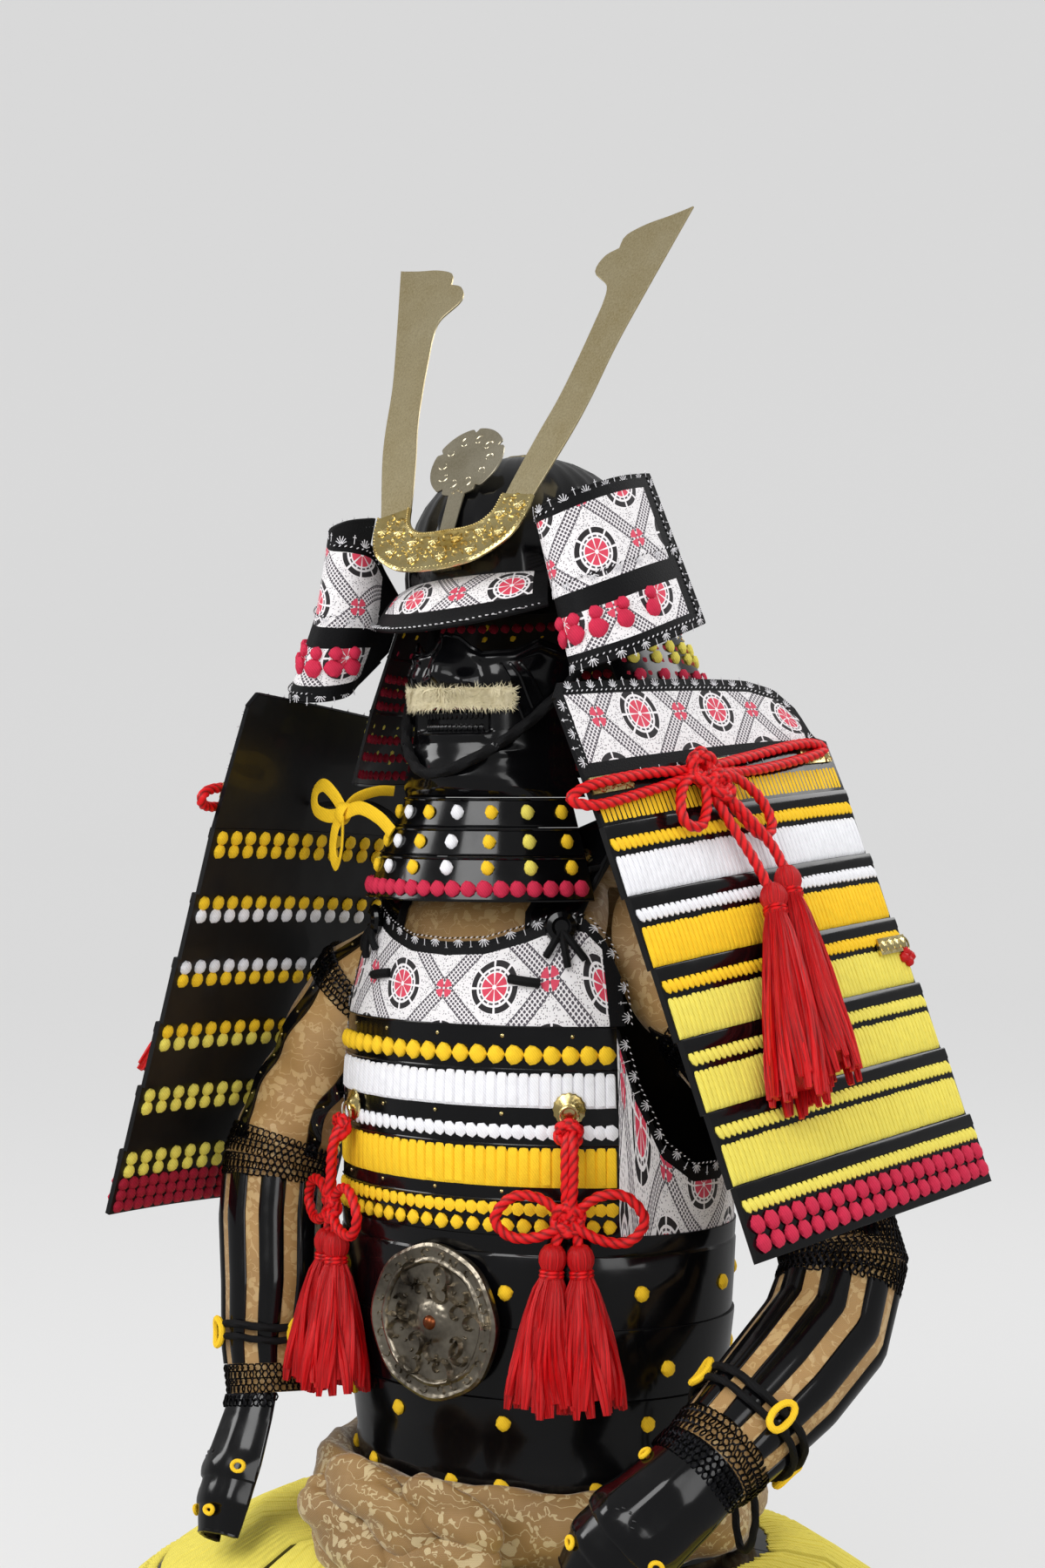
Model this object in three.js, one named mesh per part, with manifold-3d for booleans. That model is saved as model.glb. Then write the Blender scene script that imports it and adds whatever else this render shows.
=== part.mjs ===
// Samurai armour: helmet, face mask, cuirass, shoulder guards, sleeves, sash and skirt.
// Millimetres. +Z up, the armour faces -Y, its left is +X.
// The origin is where the wearer's shoulders carry it, level with the tops of the shoulder straps.
import * as THREE from "three";
import Module from "manifold-3d";

const solids = await Module();
solids.setup();

// Sizes that drive the armour
const PLATE = 3; // wall of the cuirass plates
const LAME = 2.5; // wall of the throat and neck lames
const SEAM = 0.3; // clearance where one piece seats on the next
const SLEEVE_WALL = 3;
const CHEST_BOTTOM = -149; // lower edge of the chest board
const BODY_BOTTOM = -316; // lower edge of the laced chest
const WAIST_BOTTOM = -560;
const SODE_WIDTH = 310;
const SODE_PITCH = 57.6; // one laced board of a shoulder guard
const SODE_BOARDS = 6;
const SODE_BULGE = 8; // how far the middle of a shoulder guard bows out
const ROPE = 3.4; // radius of the red silk rope
const HEAD_ROLL = 4.5; // degrees: the helmet leans to the armour's right
const HEAD_TURN = 3;

const RAD = Math.PI / 180;
const mix = (a, b, t) => a + (b - a) * t;
const clamp = (x) => Math.min(1, Math.max(0, x));

// Reads one column of a table whose rows are sorted by the key column.
function read(table, key, x, column) {
  const down = table[0][key] > table[table.length - 1][key];
  const rows = down ? [...table].reverse() : table;
  if (x <= rows[0][key]) return rows[0][column];
  for (let i = 1; i < rows.length; i++)
    if (x <= rows[i][key]) {
      const t = (x - rows[i - 1][key]) / (rows[i][key] - rows[i - 1][key]);
      return mix(rows[i - 1][column], rows[i][column], t);
    }
  return rows[rows.length - 1][column];
}
const steps = (from, to, count) =>
  Array.from({ length: count + 1 }, (_, i) => mix(from, to, i / count));
const mirrored = (list) => [...list.slice(1).reverse().map((x) => -x), ...list];

// Vectors
const add = (p, q, k = 1) => [p[0] + q[0] * k, p[1] + q[1] * k, p[2] + q[2] * k];
const minus = (p, q) => add(p, q, -1);
const dot = (p, q) => p[0] * q[0] + p[1] * q[1] + p[2] * q[2];
const cross = (p, q) => [
  p[1] * q[2] - p[2] * q[1],
  p[2] * q[0] - p[0] * q[2],
  p[0] * q[1] - p[1] * q[0],
];
const unit = (p) => p.map((x) => x / Math.hypot(...p));
const between = (p, q, t) => p.map((x, i) => mix(x, q[i], t));

// A geometry from triangles given as point triples; empty triangles are dropped, faces turned out.
function geometry(triangles) {
  const key = (p) => p.map((x) => Math.round(x * 1000)).join();
  const kept = triangles.filter(([a, b, c]) => {
    const [ka, kb, kc] = [key(a), key(b), key(c)];
    return ka !== kb && kb !== kc && ka !== kc;
  });
  let volume = 0;
  for (const [a, b, c] of kept) volume += dot(a, cross(b, c));
  const facing = volume < 0 ? kept.map(([a, b, c]) => [a, c, b]) : kept;
  const made = new THREE.BufferGeometry();
  made.setAttribute("position", new THREE.Float32BufferAttribute(facing.flat(2), 3));
  made.computeVertexNormals();
  return made;
}
const quad = (a, b, c, d) => [[a, b, c], [a, c, d]];

// A closed wall between an outer and an inner surface over the stations us and vs.
function shell(us, vs, outer, inner, wrap = false) {
  const grid = (f) => vs.map((v) => us.map((u) => f(u, v)));
  const o = grid(outer);
  const n = grid(inner);
  const columns = wrap ? us.length : us.length - 1;
  const next = (i) => (i + 1) % us.length;
  const out = [];
  for (let j = 0; j < vs.length - 1; j++)
    for (let i = 0; i < columns; i++) {
      const k = next(i);
      out.push(...quad(o[j][i], o[j][k], o[j + 1][k], o[j + 1][i]));
      out.push(...quad(n[j][i], n[j + 1][i], n[j + 1][k], n[j][k]));
    }
  const last = vs.length - 1;
  for (let i = 0; i < columns; i++) {
    const k = next(i);
    out.push(...quad(o[0][i], n[0][i], n[0][k], o[0][k]));
    out.push(...quad(o[last][i], o[last][k], n[last][k], n[last][i]));
  }
  if (!wrap) {
    const end = us.length - 1;
    for (let j = 0; j < last; j++) {
      out.push(...quad(o[j][0], o[j + 1][0], n[j + 1][0], n[j][0]));
      out.push(...quad(o[j][end], n[j][end], n[j + 1][end], o[j + 1][end]));
    }
  }
  return geometry(out);
}

// Point on an ellipse: the angle runs from the front towards the armour's left.
const ring = (a, b, degrees, z, cy = 0) => [
  a * Math.sin(degrees * RAD),
  cy - b * Math.cos(degrees * RAD),
  z,
];

// A round tube along a path of points, capped unless it is closed.
function tube(points, radius, sides = 6, closed = false) {
  const count = points.length;
  const at = (i) => points[(i + count) % count];
  const dirs = points.map((p, i) => {
    const before = closed ? at(i - 1) : points[Math.max(0, i - 1)];
    const after = closed ? at(i + 1) : points[Math.min(count - 1, i + 1)];
    return unit(minus(after, before));
  });
  let side = unit(cross(dirs[0], Math.abs(dirs[0][2]) < 0.8 ? [0, 0, 1] : [0, 1, 0]));
  const rings = points.map((p, i) => {
    side = unit(add(side, dirs[i], -dot(side, dirs[i])));
    const up = cross(dirs[i], side);
    return steps(0, 1, sides).slice(0, sides).map((t) => {
      const c = Math.cos(t * 2 * Math.PI) * radius;
      const s = Math.sin(t * 2 * Math.PI) * radius;
      return add(add(p, side, c), up, s);
    });
  });
  const out = [];
  const spans = closed ? count : count - 1;
  for (let i = 0; i < spans; i++)
    for (let k = 0; k < sides; k++) {
      const m = (k + 1) % sides;
      const n = (i + 1) % count;
      out.push(...quad(rings[i][k], rings[i][m], rings[n][m], rings[n][k]));
    }
  if (!closed)
    for (let k = 0; k < sides; k++) {
      const m = (k + 1) % sides;
      out.push([points[0], rings[0][m], rings[0][k]]);
      out.push([points[count - 1], rings[count - 1][k], rings[count - 1][m]]);
    }
  return geometry(out);
}

// A smooth path through a few points.
function smooth(points, count, closed = false) {
  const curve = new THREE.CatmullRomCurve3(
    points.map((p) => new THREE.Vector3(...p)),
    closed,
    "centripetal",
  );
  const out = curve.getSpacedPoints(count).map((p) => p.toArray());
  return closed ? out.slice(0, count) : out;
}

// A solid of revolution about an axis, from rows of distance along it and radius.
function turned(centre, axis, rows, sides, lobes = 0, lobeSize = 0) {
  const n = unit(axis);
  const s = unit(cross(n, Math.abs(n[2]) < 0.8 ? [0, 0, 1] : [0, 1, 0]));
  const t = cross(n, s);
  const point = (row, k) => {
    const turn = (k / sides) * 2 * Math.PI;
    const r = row.r * (1 + lobeSize * Math.cos(lobes * turn));
    const p = add(centre, n, row.along);
    return add(add(p, s, r * Math.cos(turn)), t, r * Math.sin(turn));
  };
  const out = [];
  for (let j = 0; j < rows.length - 1; j++)
    for (let k = 0; k < sides; k++)
      out.push(
        ...quad(
          point(rows[j], k),
          point(rows[j], (k + 1) % sides),
          point(rows[j + 1], (k + 1) % sides),
          point(rows[j + 1], k),
        ),
      );
  return geometry(out);
}

// Boolean sum of closed geometries.
function toSolid(made) {
  const position = made.getAttribute("position");
  const index = new Map();
  const flat = [];
  const corners = [];
  for (let i = 0; i < position.count; i++) {
    const p = [position.getX(i), position.getY(i), position.getZ(i)];
    const key = p.map((x) => Math.round(x * 200)).join();
    if (!index.has(key)) {
      index.set(key, flat.length / 3);
      flat.push(...p);
    }
    corners.push(index.get(key));
  }
  const kept = [];
  for (let i = 0; i < corners.length; i += 3) {
    const [a, b, c] = corners.slice(i, i + 3);
    if (a !== b && b !== c && a !== c) kept.push(a, b, c);
  }
  return new solids.Manifold(
    new solids.Mesh({
      numProp: 3,
      vertProperties: new Float32Array(flat),
      triVerts: new Uint32Array(kept),
    }),
  );
}
function fused(parts) {
  const mesh = solids.Manifold.union(parts.map(toSolid)).getMesh();
  const made = new THREE.BufferGeometry();
  const flat = [];
  for (let i = 0; i < mesh.numVert; i++)
    for (let k = 0; k < 3; k++) flat.push(mesh.vertProperties[i * mesh.numProp + k]);
  made.setAttribute("position", new THREE.Float32BufferAttribute(flat, 3));
  made.setIndex([...mesh.triVerts]);
  const plain = made.toNonIndexed();
  plain.computeVertexNormals();
  return plain;
}

// A flat plate cut to an outline, from depth z0 to z1 in its own plane.
function plate(outline, z0, z1) {
  const shape = new THREE.Shape(outline.map(([x, y]) => new THREE.Vector2(x, y)));
  const made = new THREE.ExtrudeGeometry(shape, { depth: z1 - z0, bevelEnabled: false });
  made.translate(0, 0, z0);
  return made;
}

// Materials
const paint = (color, roughness, metalness = 0) =>
  new THREE.MeshStandardMaterial({ color, roughness, metalness, flatShading: true });
const black = paint("#0b0b0c", 0.2);
const brass = paint("#b4974f", 0.35, 1);
const gilt = paint("#cfae3f", 0.3, 1);
const silver = paint("#b9b19a", 0.3, 1);
const stencil = paint("#b9b7b4", 0.7);
const amber = paint("#f2b92b", 0.7);
const lemon = paint("#e9d94a", 0.7);
const pearl = paint("#eeeef0", 0.6);
const red = paint("#c3121a", 0.5);
const brocade = paint("#a98752", 0.75);
const mail = paint("#202022", 0.5, 0.6);
const bronze = paint("#4a3d2e", 0.45, 0.9);
const fur = paint("#e6dcb8", 0.9);
const cordBlack = paint("#101010", 0.8);

const armour = new THREE.Group();
armour.name = "armour";
const head = new THREE.Group();
const PIVOT = [0, 0, 140];
head.position.set(...PIVOT);
head.rotation.set(0, -HEAD_ROLL * RAD, HEAD_TURN * RAD, "ZYX");
armour.add(head);

function put(name, made, material, group = armour) {
  const mesh = new THREE.Mesh(made, material);
  mesh.name = name;
  if (group === head) mesh.position.set(-PIVOT[0], -PIVOT[1], -PIVOT[2]);
  group.add(mesh);
}
// Where a point of the unleaned helmet ends up.
function onHead(p) {
  head.updateMatrix();
  return new THREE.Vector3(...minus(p, PIVOT)).applyMatrix4(head.matrix).toArray();
}

// Cuirass: half widths of the body at each height
const BODY = [
  { z: -560, a: 160, b: 126 },
  { z: -530, a: 162, b: 128 },
  { z: -470, a: 168, b: 132 },
  { z: -400, a: 176, b: 138 },
  { z: -303, a: 178, b: 140 },
  { z: -220, a: 177, b: 140 },
  { z: -143, a: 172, b: 136 },
  { z: -100, a: 160, b: 128 },
  { z: -60, a: 148, b: 118 },
  { z: 0, a: 136, b: 112 },
  { z: 20, a: 132, b: 108 },
];
const body = (degrees, z, off = 0) =>
  ring(read(BODY, "z", z, "a") + off, read(BODY, "z", z, "b") + off, degrees, z);

const CHEST_TOP = [
  { phi: 0, z: -86 },
  { phi: 14, z: -84 },
  { phi: 27, z: -74 },
  { phi: 38, z: -63 },
  { phi: 46, z: -66 },
  { phi: 52, z: -82 },
  { phi: 56, z: -112 },
];
put(
  "chest_board",
  shell(
    mirrored(CHEST_TOP.map((row) => row.phi)),
    [0, 0.5, 1],
    (phi, v) => body(phi, mix(CHEST_BOTTOM, read(CHEST_TOP, "phi", Math.abs(phi), "z"), v)),
    (phi, v) => body(phi, mix(CHEST_BOTTOM, read(CHEST_TOP, "phi", Math.abs(phi), "z"), v), -PLATE),
  ),
  stencil,
);

// Laced chest: how far each row of lacing stands proud, from the top down
const CHEST_ROWS = [
  { z: CHEST_BOTTOM - SEAM, proud: 0 },
  { z: -165, proud: 0 },
  { z: -166.5, proud: 1.6 },
  { z: -213, proud: 1.6 },
  { z: -214.5, proud: 0 },
  { z: -224, proud: 0 },
  { z: -225.5, proud: 1.6 },
  { z: -276, proud: 1.6 },
  { z: -277.5, proud: 0 },
  { z: -287, proud: 0 },
  { z: -288.5, proud: 1.6 },
  { z: BODY_BOTTOM, proud: 1.6 },
];
put(
  "chest_lames",
  shell(
    steps(-53, 53, 10),
    CHEST_ROWS,
    (phi, row) => body(phi, row.z, row.proud),
    (phi, row) => body(phi, row.z, -PLATE),
  ),
  amber,
);

const ARMHOLE = [
  { phi: 53.1, z: CHEST_BOTTOM - SEAM },
  { phi: 58, z: -198 },
  { phi: 67, z: -246 },
  { phi: 79, z: -267 },
  { phi: 94, z: -268 },
  { phi: 108, z: -244 },
  { phi: 119, z: -196 },
  { phi: 127, z: -150 },
];
for (const [name, side] of [["side_board_l", 1], ["side_board_r", -1]])
  put(
    name,
    shell(
      ARMHOLE,
      [0, 0.5, 1],
      (row, v) => body(side * row.phi, mix(BODY_BOTTOM, row.z, v)),
      (row, v) => body(side * row.phi, mix(BODY_BOTTOM, row.z, v), -PLATE),
    ),
    stencil,
  );

const BACK_TOP = [
  { phi: 0, z: -8 },
  { phi: 10, z: -6 },
  { phi: 20, z: -2 },
  { phi: 29, z: 3 },
  { phi: 38, z: 6 },
  { phi: 46, z: 2 },
  { phi: 50, z: -40 },
  { phi: 52.9, z: -120 },
];
put(
  "back_board",
  shell(
    mirrored(BACK_TOP.map((row) => row.phi)),
    [0, 0.35, 0.7, 1],
    (phi, v) => body(180 + phi, mix(BODY_BOTTOM, read(BACK_TOP, "phi", Math.abs(phi), "z"), v)),
    (phi, v) => body(180 + phi, mix(BODY_BOTTOM, read(BACK_TOP, "phi", Math.abs(phi), "z"), v), -PLATE),
  ),
  black,
);

// Waist lames: three rings below the laced chest
const AROUND = steps(0, 360, 28).slice(0, 28);
const WAIST = [
  [
    { z: BODY_BOTTOM - SEAM, proud: 1.5 },
    { z: -331, proud: 0.6 },
    { z: -333, proud: 1.5 },
    { z: -390.7, proud: -0.5 },
  ],
  [
    { z: -391, proud: 1.5 },
    { z: -448.7, proud: -0.5 },
  ],
  [
    { z: -449, proud: 1.5 },
    { z: -506, proud: -0.2 },
    { z: -508, proud: 1 },
    { z: WAIST_BOTTOM, proud: 1 },
  ],
];
WAIST.forEach((rows, i) =>
  put(
    "waist_lame_" + (i + 1),
    shell(
      AROUND,
      rows,
      (phi, row) => body(phi, row.z, row.proud),
      (phi, row) => body(phi, row.z, -PLATE),
      true,
    ),
    black,
  ),
);

// Shoulder guards: a flat frame that leans out, rolls and turns
const GUARD = {
  l: { side: 1, x: 204, y: -19, z: 25, lean: 22, roll: 5.5, turn: -9, tie: 4.2 },
  r: { side: -1, x: 198, y: -40, z: 0, lean: 18, roll: -3, turn: 1, tie: 5.5 },
};
// u runs along the board from front to back, v down it, n out from it.
function onGuard(guard, u, v, n) {
  const lean = guard.lean * RAD;
  const roll = guard.roll * RAD;
  const turn = guard.turn * RAD;
  const down = [guard.side * Math.sin(lean), 0, -Math.cos(lean)];
  const out = [guard.side * Math.cos(lean), 0, Math.sin(lean)];
  const along = [0, 1, 0];
  const v2 = add(down.map((x) => x * Math.cos(roll)), along, Math.sin(roll));
  const u2 = add(along.map((x) => x * Math.cos(roll)), down, -Math.sin(roll));
  const bulge = SODE_BULGE * (1 - (2 * u / SODE_WIDTH) ** 2);
  const p = add(add(u2.map((x) => x * u), v2, v), out, n + bulge);
  return [
    guard.side * guard.x + p[0] * Math.cos(turn) - p[1] * Math.sin(turn),
    guard.y + p[0] * Math.sin(turn) + p[1] * Math.cos(turn),
    guard.z + p[2],
  ];
}
const SODE_ACROSS = steps(-SODE_WIDTH / 2, SODE_WIDTH / 2, 5);
// One laced board: where down it, how proud the outside is
const BOARD_ROWS = [
  { down: 0, proud: 1.5 },
  { down: 0.12, proud: 1.2 },
  { down: 0.14, proud: 2.6 },
  { down: 0.96, proud: 0 },
  { down: 1, proud: -1.5 },
];
const SODE_WALL = 5;
const CROWN_TOP = [
  { u: -155, v: -106 },
  { u: -146, v: -117 },
  { u: -70, v: -112 },
  { u: 20, v: -106 },
  { u: 70, v: -102 },
  { u: 104, v: -93 },
  { u: 127, v: -74 },
  { u: 137, v: -48 },
  { u: 155, v: -43 },
];
// The crown board runs from its top edge to a fitting strip, then a short laced band.
function crownPoint(guard, u, k, n) {
  const top = read(CROWN_TOP, "u", u, "v");
  const v = k < 0 ? mix(-41, top, -k) : mix(-41, -SEAM, k);
  return onGuard(guard, u, v, n);
}
for (const [name, guard] of Object.entries(GUARD)) {
  put(
    "sode_" + name + "_crown",
    shell(
      CROWN_TOP.map((row) => row.u),
      [-1, -0.35, 0, 1],
      (u, k) => crownPoint(guard, u, k, 1),
      (u, k) => crownPoint(guard, u, k, -3),
    ),
    stencil,
  );
  for (let i = 0; i < SODE_BOARDS; i++)
    put(
      "sode_" + name + "_" + (i + 1),
      shell(
        SODE_ACROSS,
        BOARD_ROWS,
        (u, row) => onGuard(guard, u, i * SODE_PITCH + row.down * (SODE_PITCH - SEAM), row.proud),
        (u, row) =>
          onGuard(
            guard,
            u,
            i * SODE_PITCH + row.down * (SODE_PITCH - SEAM),
            mix(1.5, -1.5, row.down) - SODE_WALL,
          ),
      ),
      [amber, pearl, amber, lemon, lemon, black][i],
    );
}
// Throat guard: three flared lames hanging from the mask, about an axis ahead of the neck
const THROAT_AXIS = -36;
const THROAT_HALF = 70; // degrees each side
const THROAT = [
  { z: 33, r: 88 },
  { z: 9, r: 98 },
  { z: -14, r: 108 },
  { z: -50, r: 121 },
];
const throat = (degrees, z, off) => {
  const r = read(THROAT, "z", z, "r") + off;
  return ring(r, r, degrees, z, THROAT_AXIS);
};
THROAT.slice(1).forEach((row, i) =>
  put(
    "throat_lame_" + (i + 1),
    shell(
      steps(-THROAT_HALF, THROAT_HALF, 12),
      [i ? THROAT[i].z - SEAM : THROAT[i].z, row.z],
      (phi, z) => throat(phi, z, 0),
      (phi, z) => throat(phi, z, -LAME),
    ),
    black,
  ),
);

// Shoulder straps, each with the tie that holds the shoulder guard and the throat guard
const STRAP_WALL = 5;
const STRAP_GAP = 0.9; // the boards are faceted, the straps lie just clear of their flats
const STRAP_MID = [
  { y: -60, z: -18, ny: -0.78, nz: 0.62 },
  { y: -34, z: 6, ny: -0.45, nz: 0.89 },
  { y: 0, z: 14, ny: 0, nz: 1 },
  { y: 35, z: 13, ny: 0.2, nz: 0.98 },
  { y: 64, z: 4, ny: 0.5, nz: 0.87 },
];
const STRAP_FRONT = { inner: 26, outer: 46 };
const STRAP_BACK = { inner: 28, outer: 48 };
for (const [name, side] of [["l", 1], ["r", -1]]) {
  const face = (depth) => (t, row) => {
    if (row.front !== undefined) {
      const phi = side * mix(STRAP_FRONT.inner, STRAP_FRONT.outer, t);
      return body(phi, row.front, -PLATE - STRAP_GAP - depth);
    }
    if (row.back !== undefined) {
      const phi = 180 - side * mix(STRAP_BACK.inner, STRAP_BACK.outer, t);
      return body(phi, row.back, -PLATE - STRAP_GAP - depth);
    }
    return [side * mix(66, 114, t), row.y - row.ny * depth, row.z - row.nz * depth];
  };
  const band = shell(
    [0, 0.5, 1],
    [{ front: -104 }, { front: -60 }, ...STRAP_MID, { back: -22 }, { back: -60 }],
    face(0),
    face(STRAP_WALL),
  );
  const guard = GUARD[name];
  const tie = smooth(
    [
      onGuard(guard, -30, -24, -guard.tie),
      [side * 150, -36, 26],
      [side * 112, -34, 0],
      [side * 109, -56, -21],
      add(throat(side * THROAT_HALF, -25, -LAME / 2), [side * 0.342, 0.94, 0], 1.2),
    ],
    9,
  );
  put("strap_" + name, fused([band, tube(tie, 2.6, 5)]), cordBlack);
}


// Brocade yoke of the sleeves: a neck opening, a flap front and back, cut away over the shoulders
const YOKE_AROUND = steps(0, 360, 24).slice(0, 24);
const FLAP = -10.2; // inside the straps
function yoke(phi, row, off) {
  const flap = clamp((Math.abs(Math.cos(phi * RAD)) - 0.35) / 0.3);
  const levels = [
    () => ring(66 + off, 60 + off, phi, -8, -8),
    () => ring(87 + off, 73 + off, phi, -32, -4),
    () => between(ring(93 + off, 79 + off, phi, -36), body(phi, -60, FLAP + off), flap),
    () => between(ring(99 + off, 84 + off, phi, -41), body(phi, -100, FLAP + off), flap),
  ];
  return levels[row]();
}
put(
  "yoke",
  shell(YOKE_AROUND, [0, 1, 2, 3], (p, r) => yoke(p, r, 0), (p, r) => yoke(p, r, -2.5), true),
  brocade,
);

// Arms: sections down each sleeve and forearm guard
const ARM = {
  l: {
    sleeve: [
      { x: 176, y: 6, z: -140, r: 54 },
      { x: 222, y: 22, z: -215, r: 49 },
      { x: 262, y: 34, z: -290, r: 47 },
      { x: 278, y: 36, z: -340, r: 49 },
    ],
    forearm: [
      { x: 278, y: 36, z: -340, r: 49 },
      { x: 280, y: 2, z: -388, r: 50 },
      { x: 272, y: -50, z: -422, r: 48 },
      { x: 260, y: -96, z: -452, r: 43 },
      { x: 250, y: -128, z: -474, r: 38 },
    ],
    hand: [
      { x: 238, y: -146, z: -494, r: 40 },
      { x: 218, y: -164, z: -518, r: 43 },
      { x: 198, y: -176, z: -540, r: 40 },
      { x: 184, y: -182, z: -560, r: 32 },
    ],
    back: [0.35, -0.72, 0.6],
  },
  r: {
    sleeve: [
      { x: -168, y: -18, z: -138, r: 51 },
      { x: -203, y: -38, z: -200, r: 48 },
      { x: -222, y: -58, z: -252, r: 45 },
      { x: -230, y: -70, z: -288, r: 46 },
    ],
    forearm: [
      { x: -230, y: -70, z: -288, r: 46 },
      { x: -225, y: -82, z: -335, r: 45 },
      { x: -214, y: -94, z: -390, r: 43 },
      { x: -210, y: -104, z: -440, r: 39 },
      { x: -203, y: -110, z: -480, r: 35 },
    ],
    hand: [
      { x: -201, y: -120, z: -506, r: 36 },
      { x: -199, y: -136, z: -540, r: 40 },
      { x: -197, y: -154, z: -572, r: 38 },
      { x: -196, y: -166, z: -594, r: 30 },
    ],
    back: [-0.55, -0.8, 0.25],
  },
};
// Sections as rings of unit axes carried along the arm without twisting.
function sections(rows, first) {
  const centres = rows.map((row) => [row.x, row.y, row.z]);
  let across = first;
  return rows.map((row, i) => {
    const before = centres[Math.max(0, i - 1)];
    const after = centres[Math.min(rows.length - 1, i + 1)];
    const along = unit(minus(after, before));
    across = unit(add(across, along, -dot(across, along)));
    return { centre: centres[i], across, over: cross(along, across), along, r: row.r };
  });
}
const onSection = (s, turn, off, shift = 0) => {
  const reach = s.r + off;
  const p = add(s.centre, s.across, reach * Math.cos(turn));
  return add(add(p, s.over, reach * Math.sin(turn)), s.along, shift);
};
const TURN = steps(0, 2 * Math.PI, 12).slice(0, 12);
for (const [name, arm] of Object.entries(ARM)) {
  const side = name === "l" ? 1 : -1;
  // The top of the sleeve is a slanting ring from the shoulder to the armpit.
  const top = [side * 99.8, 0, -41];
  const pit = [side * 134, 0, -166];
  const middle = between(top, pit, 0.5);
  const rise = minus(top, middle);
  const half = Math.hypot(...rise);
  const rows = [{ x: middle[0], y: 0, z: middle[2], r: half }, ...arm.sleeve];
  const frames = sections(rows, [0, 1, 0]);
  const slant = unit(rise);
  frames[0].over = frames[0].over[2] > 0 ? slant : slant.map((x) => -x);
  const oval = (s, turn, off) => {
    const p = add(s.centre, [0, 1, 0], (52 + off) * Math.cos(turn));
    return add(p, s.over, (half + off * 0.6) * Math.sin(turn));
  };
  const elbow = frames[frames.length - 1];
  const lower = sections(arm.forearm, elbow.across);
  // Sleeve and forearm guard share the ring at the elbow, halfway between their directions.
  const bend = unit(add(unit(minus(lower[1].centre, elbow.centre)), elbow.along));
  const across = unit(add(elbow.across, bend, -dot(elbow.across, bend)));
  const shared = { centre: elbow.centre, across, over: cross(bend, across), along: bend, r: elbow.r };
  frames[frames.length - 1] = shared;
  lower[0] = shared;
  const sleeveAt = (turn, s, off) => (s === frames[0] ? oval(s, turn, off) : onSection(s, turn, off));
  put(
    "sleeve_" + name,
    shell(TURN, frames, (t, s) => sleeveAt(t, s, 0), (t, s) => sleeveAt(t, s, -SLEEVE_WALL), true),
    brocade,
  );
  const start = (s) => (s === shared ? SEAM : 0);
  put(
    "forearm_" + name,
    shell(
      TURN,
      lower,
      (t, s) => onSection(s, t, 0, start(s)),
      (t, s) => onSection(s, t, -SLEEVE_WALL, start(s)),
      true,
    ),
    black,
  );
  // The hand guard is a curved plate over the back of the hand.
  const wrist = lower[lower.length - 1];
  const wristRow = { x: wrist.centre[0], y: wrist.centre[1], z: wrist.centre[2], r: wrist.r };
  const hand = sections([wristRow, ...arm.hand], arm.back);
  const square = unit(add(arm.back, wrist.along, -dot(arm.back, wrist.along)));
  hand[0] = { ...wrist, across: square, over: cross(wrist.along, square) };
  const handShift = (s) => (s === hand[0] ? SEAM : 0);
  put(
    "hand_guard_" + name,
    shell(
      steps(-80, 80, 6).map((x) => x * RAD),
      hand,
      (t, s) => onSection(s, t, 0, handShift(s)),
      (t, s) => onSection(s, t, -LAME, handShift(s)),
    ),
    black,
  );
}

// Mirror: a lobed bronze plate hung on the front of the waist
put(
  "mirror",
  turned(
    [4, -141.6, -389],
    [0, -1, 0],
    [
      { along: 0, r: 0 },
      { along: 0, r: 63 },
      { along: 7, r: 63 },
      { along: 9, r: 60 },
      { along: 9, r: 53 },
      { along: 6, r: 50 },
      { along: 6, r: 18 },
      { along: 11, r: 12 },
      { along: 11, r: 0 },
    ],
    24,
    8,
    0.03,
  ),
  bronze,
);

// Sash: a thick roll round the waist with a knot in front
const SASH = { a: 182, b: 148, z: -548, thick: 20, tall: 33 };
const SASH_TURN = steps(0, 360, 8).slice(0, 8);
{
  const at = (phi, turn) => {
    const out = SASH.thick * Math.cos(turn * RAD);
    const z = SASH.z + SASH.tall * Math.sin(turn * RAD);
    return ring(SASH.a + out, SASH.b + out, phi, z);
  };
  const roll = [];
  AROUND.forEach((phi, i) =>
    SASH_TURN.forEach((turn, k) => {
      const phi2 = AROUND[(i + 1) % AROUND.length];
      const turn2 = SASH_TURN[(k + 1) % SASH_TURN.length];
      roll.push(...quad(at(phi, turn), at(phi2, turn), at(phi2, turn2), at(phi, turn2)));
    }),
  );
  put("sash_band", geometry(roll), brocade);
  const knot = new THREE.SphereGeometry(1, 14, 8).toNonIndexed();
  knot.scale(92, 20, 38);
  knot.translate(-4, -188.6, -546);
  put("sash_knot", knot, brocade);
}

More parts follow.
